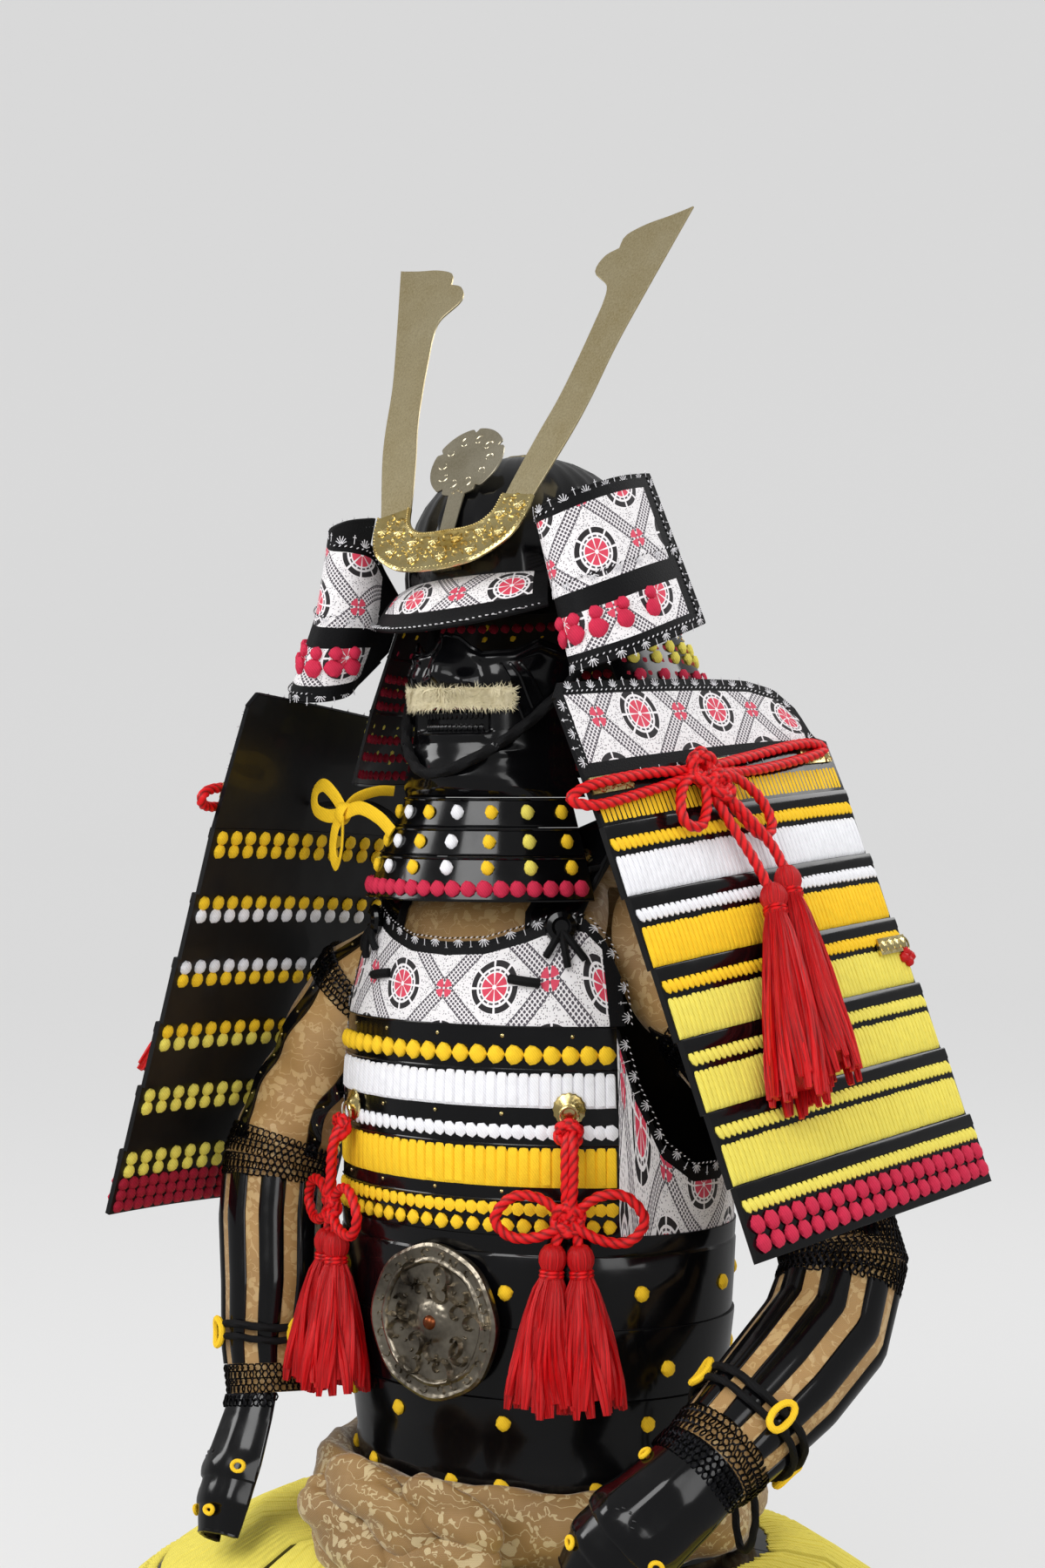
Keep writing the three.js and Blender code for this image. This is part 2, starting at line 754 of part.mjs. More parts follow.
// Skirt: five flared panels below the sash
const SKIRT = [
  { t: 0, z: -581.5, front: 1, flank: 1 },
  { t: 0.12, z: -590, front: 1.14, flank: 1.45 },
  { t: 0.4, z: -632, front: 1.34, flank: 1.9 },
  { t: 0.7, z: -668, front: 1.48, flank: 2.2 },
  { t: 1, z: -706, front: 1.58, flank: 2.38 },
];
const skirt = (phi, t) => {
  const flank = Math.abs(Math.sin(phi * RAD)) ** 1.2;
  const scale = mix(read(SKIRT, "t", t, "front"), read(SKIRT, "t", t, "flank"), flank);
  return ring(SASH.a * scale, SASH.b * scale, phi, read(SKIRT, "t", t, "z"));
};
const PANELS = [
  { name: "skirt_front", from: -34.7, to: 34.7 },
  { name: "skirt_side_l", from: 35.3, to: 104.7 },
  { name: "skirt_side_r", from: -104.7, to: -35.3 },
  { name: "skirt_back_l", from: 105.3, to: 179.7 },
  { name: "skirt_back_r", from: -179.7, to: -105.3 },
];
for (const panel of PANELS)
  put(
    panel.name,
    shell(
      steps(panel.from, panel.to, 5),
      SKIRT,
      (phi, row) => skirt(phi, row.t),
      (phi, row) => add(skirt(phi, row.t), [0, 0, 1], row.t ? -5 : -3),
    ),
    lemon,
  );

// Helmet bowl
const SPOKES = steps(0, 360, 24).slice(0, 24);
const BOWL = { a: 100, b: 118, rim: 200 };
const DOME = [
  { z: 200, scale: 1 },
  { z: 222, scale: 1 },
  { z: 252, scale: 0.94 },
  { z: 282, scale: 0.8 },
  { z: 304, scale: 0.58 },
  { z: 318, scale: 0.3 },
  { z: 323, scale: 0 },
];
put(
  "helmet_bowl",
  shell(
    SPOKES,
    DOME,
    (phi, row) => ring(BOWL.a * row.scale, BOWL.b * row.scale, phi, row.z),
    (phi, row) => {
      const k = row.scale * 0.97;
      return ring(BOWL.a * k, BOWL.b * k, phi, row.z === BOWL.rim ? row.z : row.z - 2.5);
    },
    true,
  ),
  black,
  head,
);

// Visor, from the bowl down to its drooping front edge
const visor = (k, v) => {
  const phi = k * 45 - k * 2 * v;
  const z = mix(212, 171 + 44 * (1 - Math.cos(phi * RAD)), v);
  const lift = 5 * Math.sin(Math.PI * v);
  return ring(mix(100.4, 125, v), mix(118.4, 150, v), phi, z + lift);
};
put(
  "visor",
  shell(steps(-1, 1, 6), steps(0, 1, 3), visor, (k, v) => add(visor(k, v), [0, 0, -3.4])),
  stencil,
  head,
);

// Neck guard: three lames open at the face
const NECK_FROM = 60;
const NECK = [
  { z: 205, a: 102.8, b: 120.8 },
  { z: 160, a: 123, b: 133 },
  { z: 115, a: 143, b: 146 },
  { z: 55, a: 165, b: 160 },
];
const neck = (phi, z, off) => ring(read(NECK, "z", z, "a") + off, read(NECK, "z", z, "b") + off, phi, z);
NECK.slice(1).forEach((row, i) =>
  put(
    "neck_guard_" + (i + 1),
    shell(
      steps(NECK_FROM, 360 - NECK_FROM, 16),
      [i ? NECK[i].z - SEAM : NECK[i].z, row.z],
      (phi, z) => neck(phi, z, 0),
      (phi, z) => neck(phi, z, -LAME),
    ),
    black,
    head,
  ),
);

// Turnbacks: the wings of the helmet, rooted on the front edge of the top neck lame
const TURNBACK = [
  { x: 96, y: -88, low: 140, high: 228, flare: 18 },
  { x: 94, y: -108, low: 128, high: 248, flare: 20 },
  { x: 103, y: -129, low: 124, high: 254, flare: 26 },
  { x: 125, y: -133, low: 127, high: 258, flare: 34 },
  { x: 145, y: -110, low: 135, high: 269, flare: 38 },
  { x: 157, y: -70, low: 148, high: 280, flare: 40 },
  { x: 161, y: -28, low: 160, high: 286, flare: 42 },
];
for (const [name, side] of [["turnback_l", 1], ["turnback_r", -1]]) {
  const point = (row, v) => {
    if (row.root) {
      const z = mix(164, 203, v);
      const p = neck(side * NECK_FROM, z, 0);
      return [p[0] - side * 0.2, p[1] - 0.45, z];
    }
    const splay = side < 0 ? 16 * Math.max(0, 1 - 2 * v) : 0;
    return [side * (row.x + row.flare * (0.5 - v) + splay), row.y, mix(row.low, row.high, v)];
  };
  const rows = [{ root: true }, ...TURNBACK];
  // The wall lies inside the curl: towards the middle of the wing's own bend.
  const inside = (row, v) => {
    const p = point(row, v);
    if (row.root) return [p[0] - side * 2, p[1], p[2]];
    const i = rows.indexOf(row);
    const before = point(rows[i - 1], v);
    const after = point(rows[Math.min(rows.length - 1, i + 1)], v);
    const along = unit([after[0] - before[0], after[1] - before[1], 0]);
    return add(p, [-along[1] * side, along[0] * side, 0], 2.2);
  };
  put(name, shell(rows, [0, 0.38, 1], point, inside), stencil, head);
}

// Crest holder, horns and disc: plates in one plane leaning back over the visor
const crest = new THREE.Group();
const CREST_AT = { y: -132, z: 232, lean: 33 };
crest.position.set(0, CREST_AT.y - PIVOT[1], CREST_AT.z - PIVOT[2]);
crest.rotation.set((90 - CREST_AT.lean) * RAD, 0, 0);
// A point of the helmet's middle plane as height and depth in the crest's plane.
const inCrest = (y, z) => {
  const [s, c] = [Math.sin(CREST_AT.lean * RAD), Math.cos(CREST_AT.lean * RAD)];
  const [dy, dz] = [y - CREST_AT.y, z - CREST_AT.z];
  return [dy * s + dz * c, -dy * c + dz * s];
};
head.add(crest);
function onCrest(name, made, material) {
  const mesh = new THREE.Mesh(made, material);
  mesh.name = name;
  crest.add(mesh);
}
const curve = (points, count) =>
  new THREE.CatmullRomCurve3(points.map(([x, y]) => new THREE.Vector3(x, y, 0)), false, "centripetal")
    .getPoints(count)
    .map((p) => [p.x, p.y]);
const flipped = (points) => points.map(([x, y]) => [-x, y]).reverse();
{
  const outer = curve([[78, 45], [76, 26], [66, 5], [42, -12], [20, -17], [0, -18]], 10);
  const inner = curve([[0, 23], [18, 23], [31, 26], [41, 36], [45, 52]], 8);
  const outline = [...outer, ...flipped(outer), ...flipped(inner), ...inner];
  const cheek = plate(cleaned(outline), 0, 2.2);
  const foot = plate([[-17.4, 1], [-6.6, 1], inCrest(-118.4, 227), inCrest(-118.4, 218)], -10, 10);
  // The foot is drawn in the plane's height and depth, then turned to lie across it.
  foot.applyMatrix4(new THREE.Matrix4().set(0, 0, 1, 0, 1, 0, 0, 0, 0, 1, 0, 0, 0, 0, 0, 1));
  onCrest("horn_holder", fused([cheek, foot]), gilt);
}
function cleaned(points) {
  return points.filter(([x, y], i) => {
    const [px, py] = points[(i + points.length - 1) % points.length];
    return Math.hypot(x - px, y - py) > 0.01;
  });
}
const HORN = [
  ...curve([[66, 10], [76, 45], [95, 103], [104, 138], [114, 190], [130, 250], [152, 328]], 12),
  ...curve([[152, 328], [130, 323], [108, 319], [90, 311], [87, 298]], 7),
  ...curve([[87, 298], [74, 292], [69, 276], [86, 257], [87, 235]], 7),
  ...curve([[87, 235], [79, 183], [71, 142], [60, 103], [47, 50], [43, 18]], 8),
];
const HORN_STRETCH = 1.05;
const horn = cleaned(HORN.map(([x, y]) => [x, y * HORN_STRETCH]));
onCrest("horn_l", plate(horn, -2.1, -SEAM), brass);
onCrest("horn_r", plate(flipped(horn), -2.1, -SEAM), brass);
{
  const disc = [];
  for (let i = 0; i <= 36; i++) {
    const turn = mix(-77, 257, i / 36);
    const notch = [2, 11, 18, 25, 34].includes(i) ? 3.5 : 0;
    disc.push([(35.5 - notch) * Math.cos(turn * RAD) - 4, 96 + (35.5 - notch) * Math.sin(turn * RAD)]);
  }
  const outline = [...disc, [-8, 6], [6, 6]];
  onCrest("crest_disc", plate(outline, -2.1, -SEAM), silver);
}

// Face mask
const MASK_ROWS = [
  { z: 33.3, rx: 88, ry: 88 },
  { z: 40, rx: 86, ry: 96 },
  { z: 50, rx: 81, ry: 100 },
  { z: 66, rx: 77, ry: 95 },
  { z: 84, rx: 75, ry: 91 },
  { z: 87, rx: 75, ry: 90 },
  { z: 103, rx: 75, ry: 90 },
  { z: 107, rx: 75, ry: 91 },
  { z: 122, rx: 75, ry: 89 },
  { z: 131, rx: 75, ry: 88 },
  { z: 139, rx: 75, ry: 86 },
  { z: 152, rx: 75, ry: 84 },
  { z: 168, rx: 75, ry: 82 },
];
const MASK_ACROSS = mirrored([0, 7, 14, 22, 30, 42, 56, 68, 80]);
const EYE_LINE = [
  { phi: 0, top: 166 },
  { phi: 7, top: 163 },
  { phi: 14, top: 155 },
  { phi: 22, top: 150 },
  { phi: 42, top: 152 },
  { phi: 56, top: 161 },
  { phi: 80, top: 150 },
];
const hump = (x, width) => Math.exp(-((x / width) ** 2));
function mask(phi, row, off) {
  const side = Math.abs(phi);
  const top = read(EYE_LINE, "phi", side, "top");
  const z = row.z > 131 ? mix(131, top, (row.z - 131) / (168 - 131)) : row.z;
  const nose = 20 * hump(phi, 10) * hump(z - 137, 12) + 7 * hump(phi, 8) * clamp((z - 137) / 10);
  const cheek = 5 * hump(side - 40, 16) * hump(z - 132, 16);
  const mouth = row.z > 86 && row.z < 104 && side < 29 ? -7 : 0;
  const chin = 5 * hump(phi, 16) * hump(z - 50, 10);
  const proud = nose + cheek + mouth + chin + off;
  return ring(row.rx + proud, row.ry + proud, phi, z, THROAT_AXIS);
}
put(
  "mask",
  shell(MASK_ACROSS, MASK_ROWS, (phi, row) => mask(phi, row, 0), (phi, row) => mask(phi, row, -LAME)),
  black,
);
put(
  "moustache",
  shell(
    MASK_ACROSS.filter((phi) => Math.abs(phi) <= 42),
    MASK_ROWS.filter((row) => row.z === 107 || row.z === 122),
    (phi, row) => mask(phi, row, 7),
    (phi, row) => mask(phi, row, 0.5),
  ),
  fur,
);

// Helmet cord: from inside the bowl, down the cheeks and under the chin
{
  const jaw = mirrored([0, 15, 30, 45, 60, 76]).map((phi) => {
    const z = 52 + 78 * (Math.abs(phi) / 76) ** 1.5;
    const row = MASK_ROWS.map((r) => ({ ...r }));
    const rx = read(row, "z", z, "rx");
    const ry = read(row, "z", z, "ry");
    const chin = 5 * hump(phi, 16) * hump(z - 50, 10) + 5 * hump(Math.abs(phi) - 40, 16) * hump(z - 132, 16);
    return ring(rx + 6.4 + chin, ry + 6.4 + chin, phi, z, THROAT_AXIS);
  });
  const ends = [-1, 1].map((side) => [
    onHead([side * 89.9, -14, 214]),
    onHead([side * 89.4, -14, 190]),
  ]);
  const path = [...ends[0], ...jaw, ...[...ends[1]].reverse()];
  put("chin_cord", tube(smooth(path, 30), 5, 6), cordBlack);
}

// Rope bows with their tassels. Each is drawn flat: x across, y up, then carried to its place.
function bow(plan, place) {
  const rope = (points, count, closed) =>
    tube(smooth(points.map(place), count, closed), ROPE, 4, closed);
  const parts = plan.loops.map((points) => rope(points, plan.loopSegments, true));
  plan.cords.forEach((points) => parts.push(rope(points, 4, false)));
  plan.knots.forEach(({ x, y, r, z }) => {
    const ball = new THREE.OctahedronGeometry(r, 1);
    ball.translate(...place([x, y, z]));
    parts.push(ball);
  });
  plan.tassels.forEach(({ x, y, z, length, drift }) => {
    const top = place([x, y, z]);
    const low = place([x + drift, y - length, z + plan.hang]);
    const axis = unit(minus(low, top));
    const far = Math.hypot(...minus(low, top));
    parts.push(
      turned(
        top,
        axis,
        [
          { along: -4, r: 0 },
          { along: 0, r: 8 },
          { along: 18, r: 9.5 },
          { along: 24, r: 7.5 },
          { along: far * 0.45, r: plan.fringe * 0.82 },
          { along: far, r: plan.fringe },
          { along: far, r: 0 },
        ],
        8,
        4,
        0.06,
      ),
    );
  });
  return parts;
}
const FRONT_BOW = (depth) => ({
  loopSegments: 10,
  loops: [
    [[0, -84, depth], [-34, -66, depth], [-58, -84, depth], [-36, -102, depth]],
    [[0, -84, depth + 1], [36, -64, depth + 1], [60, -84, depth + 1], [38, -104, depth + 1]],
  ],
  cords: [
    [[0, 4, 5], [0, -20, depth], [0, -50, depth], [0, -88, depth]],
    [[-2, -84, depth], [-10, -98, depth], [-18, -112, depth]],
    [[2, -84, depth], [8, -98, depth], [12, -112, depth]],
  ],
  knots: [{ x: 0, y: -84, z: depth, r: 10 }],
  tassels: [
    { x: -18, y: -108, z: depth, length: 122, drift: -12 },
    { x: 12, y: -108, z: depth, length: 122, drift: 4 },
  ],
  fringe: 19,
  hang: 4,
});
for (const [name, x, z] of [["tassel_front_r", -105, -225], ["tassel_front_l", 112, -214]]) {
  const sine = x / (read(BODY, "z", z, "a") + 2);
  const phi = Math.asin(sine) / RAD;
  const base = body(phi, z, 1.6);
  const a = read(BODY, "z", z, "a");
  const b = read(BODY, "z", z, "b");
  const out = unit([Math.sin(phi * RAD) / a, -Math.cos(phi * RAD) / b, 0]);
  const right = [-out[1], out[0], 0];
  const place = ([px, py, pz]) => add(add(add(base, right, px), [0, 0, 1], py), out, pz);
  const depth = 20;
  const washer = turned(place([0, 0, 0.2]), out, [
    { along: 0, r: 0 },
    { along: 0, r: 13 },
    { along: 2, r: 13 },
    { along: 6, r: 5 },
    { along: 6, r: 0 },
  ], 12);
  put(name, fused([washer, ...bow(FRONT_BOW(depth), place)]), red);
}
for (const [name, guard] of Object.entries(GUARD)) {
  const place = ([px, py, pz]) => onGuard(guard, px, -py, pz);
  const n = 1 + ROPE + 0.5;
  const plan = {
    loopSegments: 11,
    loops: [
      [[-40, 28, n + 3], [-100, 34, n + 1], [-158, 32, n + 1], [-180, 24, n - 4], [-158, 16, n + 1], [-100, 20, n + 1]],
      [[-40, 28, n + 3], [30, 36, n + 1], [110, 42, n + 1], [140, 36, n + 1], [110, 30, n + 1], [30, 24, n + 1]],
      [[-42, 28, n + 6], [-74, 12, n + 7], [-84, -16, n + 8], [-62, -14, n + 8]],
      [[-38, 28, n + 6], [2, 14, n + 7], [20, -28, n + 8], [-4, -34, n + 8]],
    ],
    cords: [
      [[-42, 26, n + 6], [-34, -10, n + 7], [-24, -50, n + 10], [-20, -82, n + 12]],
      [[-38, 26, n + 6], [-16, -14, n + 12], [4, -54, n + 11], [5, -88, n + 12]],
    ],
    knots: [{ x: -40, y: 28, z: n + 5.5, r: 9 }],
    tassels: [
      { x: -20, y: -78, z: n + 12, length: 165, drift: -62 },
      { x: 5, y: -84, z: n + 12, length: 165, drift: -50 },
    ],
    fringe: 17,
    hang: 9,
  };
  put("tassel_sode_" + name, fused(bow(plan, place)), red);
}

export default armour;
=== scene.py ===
# Samurai armour: the dressed model, built round the packed solids.
# Sizes in the functions are millimetres and angles degrees. Every mesh is stored in metres, in the
# shared frame.
import random
from math import asin, copysign, cos, exp, hypot, pi, sin, sqrt

import bpy
from mathutils import Matrix, Vector


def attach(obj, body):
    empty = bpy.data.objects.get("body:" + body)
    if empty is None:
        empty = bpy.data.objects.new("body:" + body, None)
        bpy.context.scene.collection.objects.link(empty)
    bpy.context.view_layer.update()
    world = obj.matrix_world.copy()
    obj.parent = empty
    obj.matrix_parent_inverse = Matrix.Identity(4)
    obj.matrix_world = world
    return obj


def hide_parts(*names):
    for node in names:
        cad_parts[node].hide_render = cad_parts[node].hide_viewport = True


bl_info = {
    "name": "Samurai armour",
    "version": (1, 0, 0),
    "blender": (4, 5, 0),
    "location": "3D View > Sidebar > Armour",
    "description": "Lacing, stencilled leather, ropes, mail and lacquer for a suit of armour",
    "category": "Object",
}

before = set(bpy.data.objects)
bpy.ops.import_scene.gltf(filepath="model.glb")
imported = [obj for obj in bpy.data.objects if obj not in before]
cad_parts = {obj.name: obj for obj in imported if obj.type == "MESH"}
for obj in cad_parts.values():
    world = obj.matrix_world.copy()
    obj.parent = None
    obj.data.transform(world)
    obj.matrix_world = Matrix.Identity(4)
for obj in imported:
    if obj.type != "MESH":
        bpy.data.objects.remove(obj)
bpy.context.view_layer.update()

MM = 0.001
RAD = pi / 180
TURN = 2 * pi
# The finishes by their short names
CHOSEN = {}
# Millimetres of rope in which a strand goes once round
ROPE_LAY = 26.0


# Plain arithmetic on points

def mix(a, b, t):
    return a + (b - a) * t


def clamp(x):
    return min(1.0, max(0.0, x))


def add(p, q, k=1.0):
    return (p[0] + q[0] * k, p[1] + q[1] * k, p[2] + q[2] * k)


def minus(p, q):
    return add(p, q, -1)


def dot(p, q):
    return p[0] * q[0] + p[1] * q[1] + p[2] * q[2]


def cross(p, q):
    return (
        p[1] * q[2] - p[2] * q[1],
        p[2] * q[0] - p[0] * q[2],
        p[0] * q[1] - p[1] * q[0],
    )


def length(p):
    return sqrt(dot(p, p))


def unit(p):
    return tuple(x / (length(p) or 1) for x in p)


def between(p, q, t):
    return tuple(mix(a, b, t) for a, b in zip(p, q))


def steps(first, last, count):
    return [mix(first, last, i / count) for i in range(count + 1)]


def circle(count):
    """Angles evenly round a circle."""
    return steps(0, TURN, count)[:-1]


def read(table, x, column=1):
    """One column of a table whose rows are sorted by their first value."""
    rows = table if table[0][0] < table[-1][0] else table[::-1]
    if x <= rows[0][0]:
        return rows[0][column]
    for low, high in zip(rows, rows[1:]):
        if x <= high[0]:
            return mix(low[column], high[column], (x - low[0]) / (high[0] - low[0]))
    return rows[-1][column]


def ring(a, b, degrees, z, cy=0.0):
    """A point on an ellipse: the angle runs from the front towards the armour's left."""
    return (a * sin(degrees * RAD), cy - b * cos(degrees * RAD), z)


def hump(x, width):
    return exp(-((x / width) ** 2))


def curve_point(a, b, c, d, t):
    """A place between b and c on the smooth curve through four points."""
    return tuple(
        0.5 * (2 * b[k] + (c[k] - a[k]) * t + (2 * a[k] - 5 * b[k] + 4 * c[k] - d[k]) * t * t
               + (3 * b[k] - a[k] - 3 * c[k] + d[k]) * t ** 3)
        for k in range(3))


def smooth(points, count, closed=False):
    """Evenly spaced points on a smooth curve through a few points."""
    n = len(points)
    dense = []
    for i in range(n if closed else n - 1):
        four = [points[(i + k) % n if closed else min(n - 1, max(0, i + k))] for k in (-1, 0, 1, 2)]
        dense += [curve_point(*four, s / 12) for s in range(12)]
    dense.append(points[0] if closed else points[-1])
    run = [0.0]
    for p, q in zip(dense, dense[1:]):
        run.append(run[-1] + length(minus(q, p)))
    out = []
    k = 0
    for i in range(count + (0 if closed else 1)):
        want = run[-1] * i / count
        while k < len(run) - 2 and run[k + 1] < want:
            k += 1
        span = (run[k + 1] - run[k]) or 1
        out.append(between(dense[k], dense[k + 1], (want - run[k]) / span))
    return out


def path_length(points):
    return sum(length(minus(q, p)) for p, q in zip(points, points[1:]))


# Materials

def linear(hex_colour):
    """An sRGB hex colour as Blender's linear colour."""
    out = []
    for i in (1, 3, 5):
        c = int(hex_colour[i:i + 2], 16) / 255
        out.append(c / 12.92 if c <= 0.04045 else ((c + 0.055) / 1.055) ** 2.4)
    return (*out, 1.0)


def node(tree, kind, settings, inputs, out=0):
    """Adds one node with its settings and links, and gives one of its outputs. Math.ADD sets ADD."""
    kind, _, operation = kind.partition(".")
    made = tree.nodes.new(kind if "Node" in kind else "ShaderNode" + kind)
    if operation:
        made.operation = operation
    for key, value in settings.items():
        setattr(made, key, value)
    for key, value in inputs.items():
        if isinstance(value, bpy.types.NodeSocket):
            tree.links.new(value, made.inputs[key])
        else:
            made.inputs[key].default_value = value
    return made.outputs[out]


def surface(name, roughness, metallic, rows, **sockets):
    """A material from rows of node: its key, kind, settings, inputs and output. Keys may feed the shader."""
    material = bpy.data.materials.new(name)
    material.use_nodes = True
    tree = material.node_tree
    shader = tree.nodes["Principled BSDF"]
    shader.inputs["Roughness"].default_value = roughness
    shader.inputs["Metallic"].default_value = metallic
    for key, value in sockets.items():
        shader.inputs[key.replace("_", " ")].default_value = value
    made = {}
    for key, kind, settings, inputs, *out in rows:
        values = {}
        for socket, value in inputs.items():
            if isinstance(value, str):
                value = linear(value) if value[0] == "#" else made[value]
            values[socket] = value
        made[key] = node(tree, kind, settings, values, *out)
        if key in shader.inputs:
            tree.links.new(made[key], shader.inputs[key])
    return material


COLOURS = {"data_type": "RGBA"}
ON_OBJECT = ("place", "TexCoord", {}, {}, 3)
ON_CLOTH = ("place", "TexCoord", {}, {}, 2)


def darker(colour, share):
    return (colour[0] * share, colour[1] * share, colour[2] * share, 1.0)


def lacquer(name, colour="#040405", gloss=0.12):
    # Polished black lacquer over iron and rawhide, brushed on and rubbed: deep, wet gloss with slow waves.
    return surface(name, gloss, 0.0, (
        ON_OBJECT,
        ("cloud", "TexNoise", {}, {"Vector": "place", "Scale": 9.0, "Detail": 4.0}),
        ("Base Color", "Mix", COLOURS, {0: "cloud", 6: colour, 7: "#0A0A0C"}, 2),
        ("wear", "TexNoise", {}, {"Vector": "place", "Scale": 38.0, "Detail": 5.0}),
        ("Roughness", "MapRange", {}, {0: "wear", 1: 0.4, 2: 0.75, 3: gloss, 4: gloss + 0.14}),
        ("waves", "TexNoise", {}, {"Vector": "place", "Scale": 16.0, "Detail": 2.0}),
        ("Normal", "Bump", {}, {"Strength": 0.35, "Distance": 0.0014, "Height": "waves"}),
    ), Coat_Weight=0.12, Coat_Roughness=0.05, Specular_IOR_Level=0.36)


def braid(name, colour, depth=0.72, sheen=0.35):
    # Braided silk or cotton lace: matt, with a soft sheen and a slanting thread about 1.4 mm wide. The colour
    # darkens in the grooves between threads, which is painted shade, and in random patches.
    return surface(name, 0.78, 0.0, (
        ON_OBJECT,
        ("threads", "TexWave", {"bands_direction": "DIAGONAL"},
         {"Vector": "place", "Scale": 210.0, "Distortion": 1.2, "Detail": 1.0, "Detail Scale": 2.0}),
        ("patch", "TexNoise", {}, {"Vector": "place", "Scale": 130.0, "Detail": 3.0}),
        ("soft", "Math.MULTIPLY", {}, {0: "patch", 1: 0.75}),
        # blend darkens the colour towards the depth share: painted shade in the thread grooves, plus random
        # patches; it is also the bump height
        ("blend", "Math.MULTIPLY_ADD", {}, {0: "threads", 1: 0.35, 2: "soft"}),
        ("Base Color", "Mix", COLOURS, {0: "blend", 6: darker(colour, depth), 7: colour}, 2),
        ("Normal", "Bump", {}, {"Strength": 0.6, "Distance": 0.0006, "Height": "blend"}),
    ), Sheen_Weight=sheen, Sheen_Roughness=0.5, Sheen_Tint=colour, Specular_IOR_Level=0.25)


def metal(name, deep, bright, roughness, brushed=0.0, relief=0.0):
    # Sheet metal: brushed brass, fire gilding, silvering or dark bronze, by its two tones.
    rows = [
        ON_OBJECT,
        ("patina", "TexNoise", {}, {"Vector": "place", "Scale": 22.0, "Detail": 6.0, "Roughness": 0.6}),
        ("lines", "Mapping", {}, {"Vector": "place", "Scale": (900.0, 900.0, 26.0)}),
        ("grain", "TexNoise", {}, {"Vector": "lines", "Scale": 1.0, "Detail": 3.0}),
        ("cloud", "Math.MULTIPLY", {}, {0: "patina", 1: 1 - brushed}),
        ("worn", "Math.MULTIPLY_ADD", {}, {0: "grain", 1: brushed, 2: "cloud"}),
        ("tone", "MapRange", {}, {0: "worn", 1: 0.3, 2: 0.7}),
        ("Base Color", "Mix", COLOURS, {0: "tone", 6: deep, 7: bright}, 2),
        ("Roughness", "MapRange", {}, {0: "worn", 1: 0.3, 2: 0.75, 3: roughness + 0.12, 4: roughness}),
    ]
    if relief:
        rows += [
            ("cells", "TexVoronoi", {"feature": "SMOOTH_F1"}, {"Vector": "place", "Scale": 190.0}),
            ("Normal", "Bump", {}, {"Strength": 0.8, "Distance": relief, "Height": "cells"}),
        ]
    else:
        rows.append(("Normal", "Bump", {}, {"Strength": 0.35, "Distance": 0.0002, "Height": "grain"}))
    return surface(name, roughness, 1.0, rows)


def wheel_rows(key, centre):
    """Rows for the distance and angle from the nearest wheel; centre 0 is on the lattice, 0.5 between."""
    rows = []
    for way in ("p", "q"):
        rows += [
            (key + way + "1", "Math.ADD", {}, {0: way, 1: 0.5 - centre}),
            (key + way + "2", "Math.FRACT", {}, {0: key + way + "1"}),
            (key + way, "Math.SUBTRACT", {}, {0: key + way + "2", 1: 0.5}),
        ]
    return rows + [
        (key + "xx", "Math.ADD", {}, {0: key + "p", 1: key + "q"}),
        (key + "x", "Math.MULTIPLY", {}, {0: key + "xx", 1: 0.5}),
        (key + "yy", "Math.SUBTRACT", {}, {0: key + "p", 1: key + "q"}),
        (key + "y", "Math.MULTIPLY", {}, {0: key + "yy", 1: 0.5}),
        (key + "flat", "CombineXYZ", {}, {0: key + "x", 1: key + "y"}),
        (key + "r", "VectorMath.LENGTH", {}, {0: key + "flat"}, 1),
        (key + "turn", "Math.ARCTAN2", {}, {0: key + "y", 1: key + "x"}),
    ]


def ring_rows(key, wheel, low, high, petals, width):
    """Rows for one ring of a wheel, cut by gaps into petals; no petals leaves it whole."""
    rows = [
        (key + "in", "Math.GREATER_THAN", {}, {0: wheel + "r", 1: low}),
        (key + "out", "Math.LESS_THAN", {}, {0: wheel + "r", 1: high}),
        (key, "Math.MULTIPLY", {}, {0: key + "in", 1: key + "out"}),
    ]
    if petals:
        rows[2] = (key + "ring", *rows[2][1:])
        rows += [
            (key + "a", "Math.MULTIPLY", {}, {0: wheel + "turn", 1: petals / 2}),
            (key + "b", "Math.SINE", {}, {0: key + "a"}),
            (key + "c", "Math.ABSOLUTE", {}, {0: key + "b"}),
            (key + "d", "Math.GREATER_THAN", {}, {0: key + "c", 1: width}),
            (key, "Math.MULTIPLY", {}, {0: key + "ring", 1: key + "d"}),
        ]
    return rows


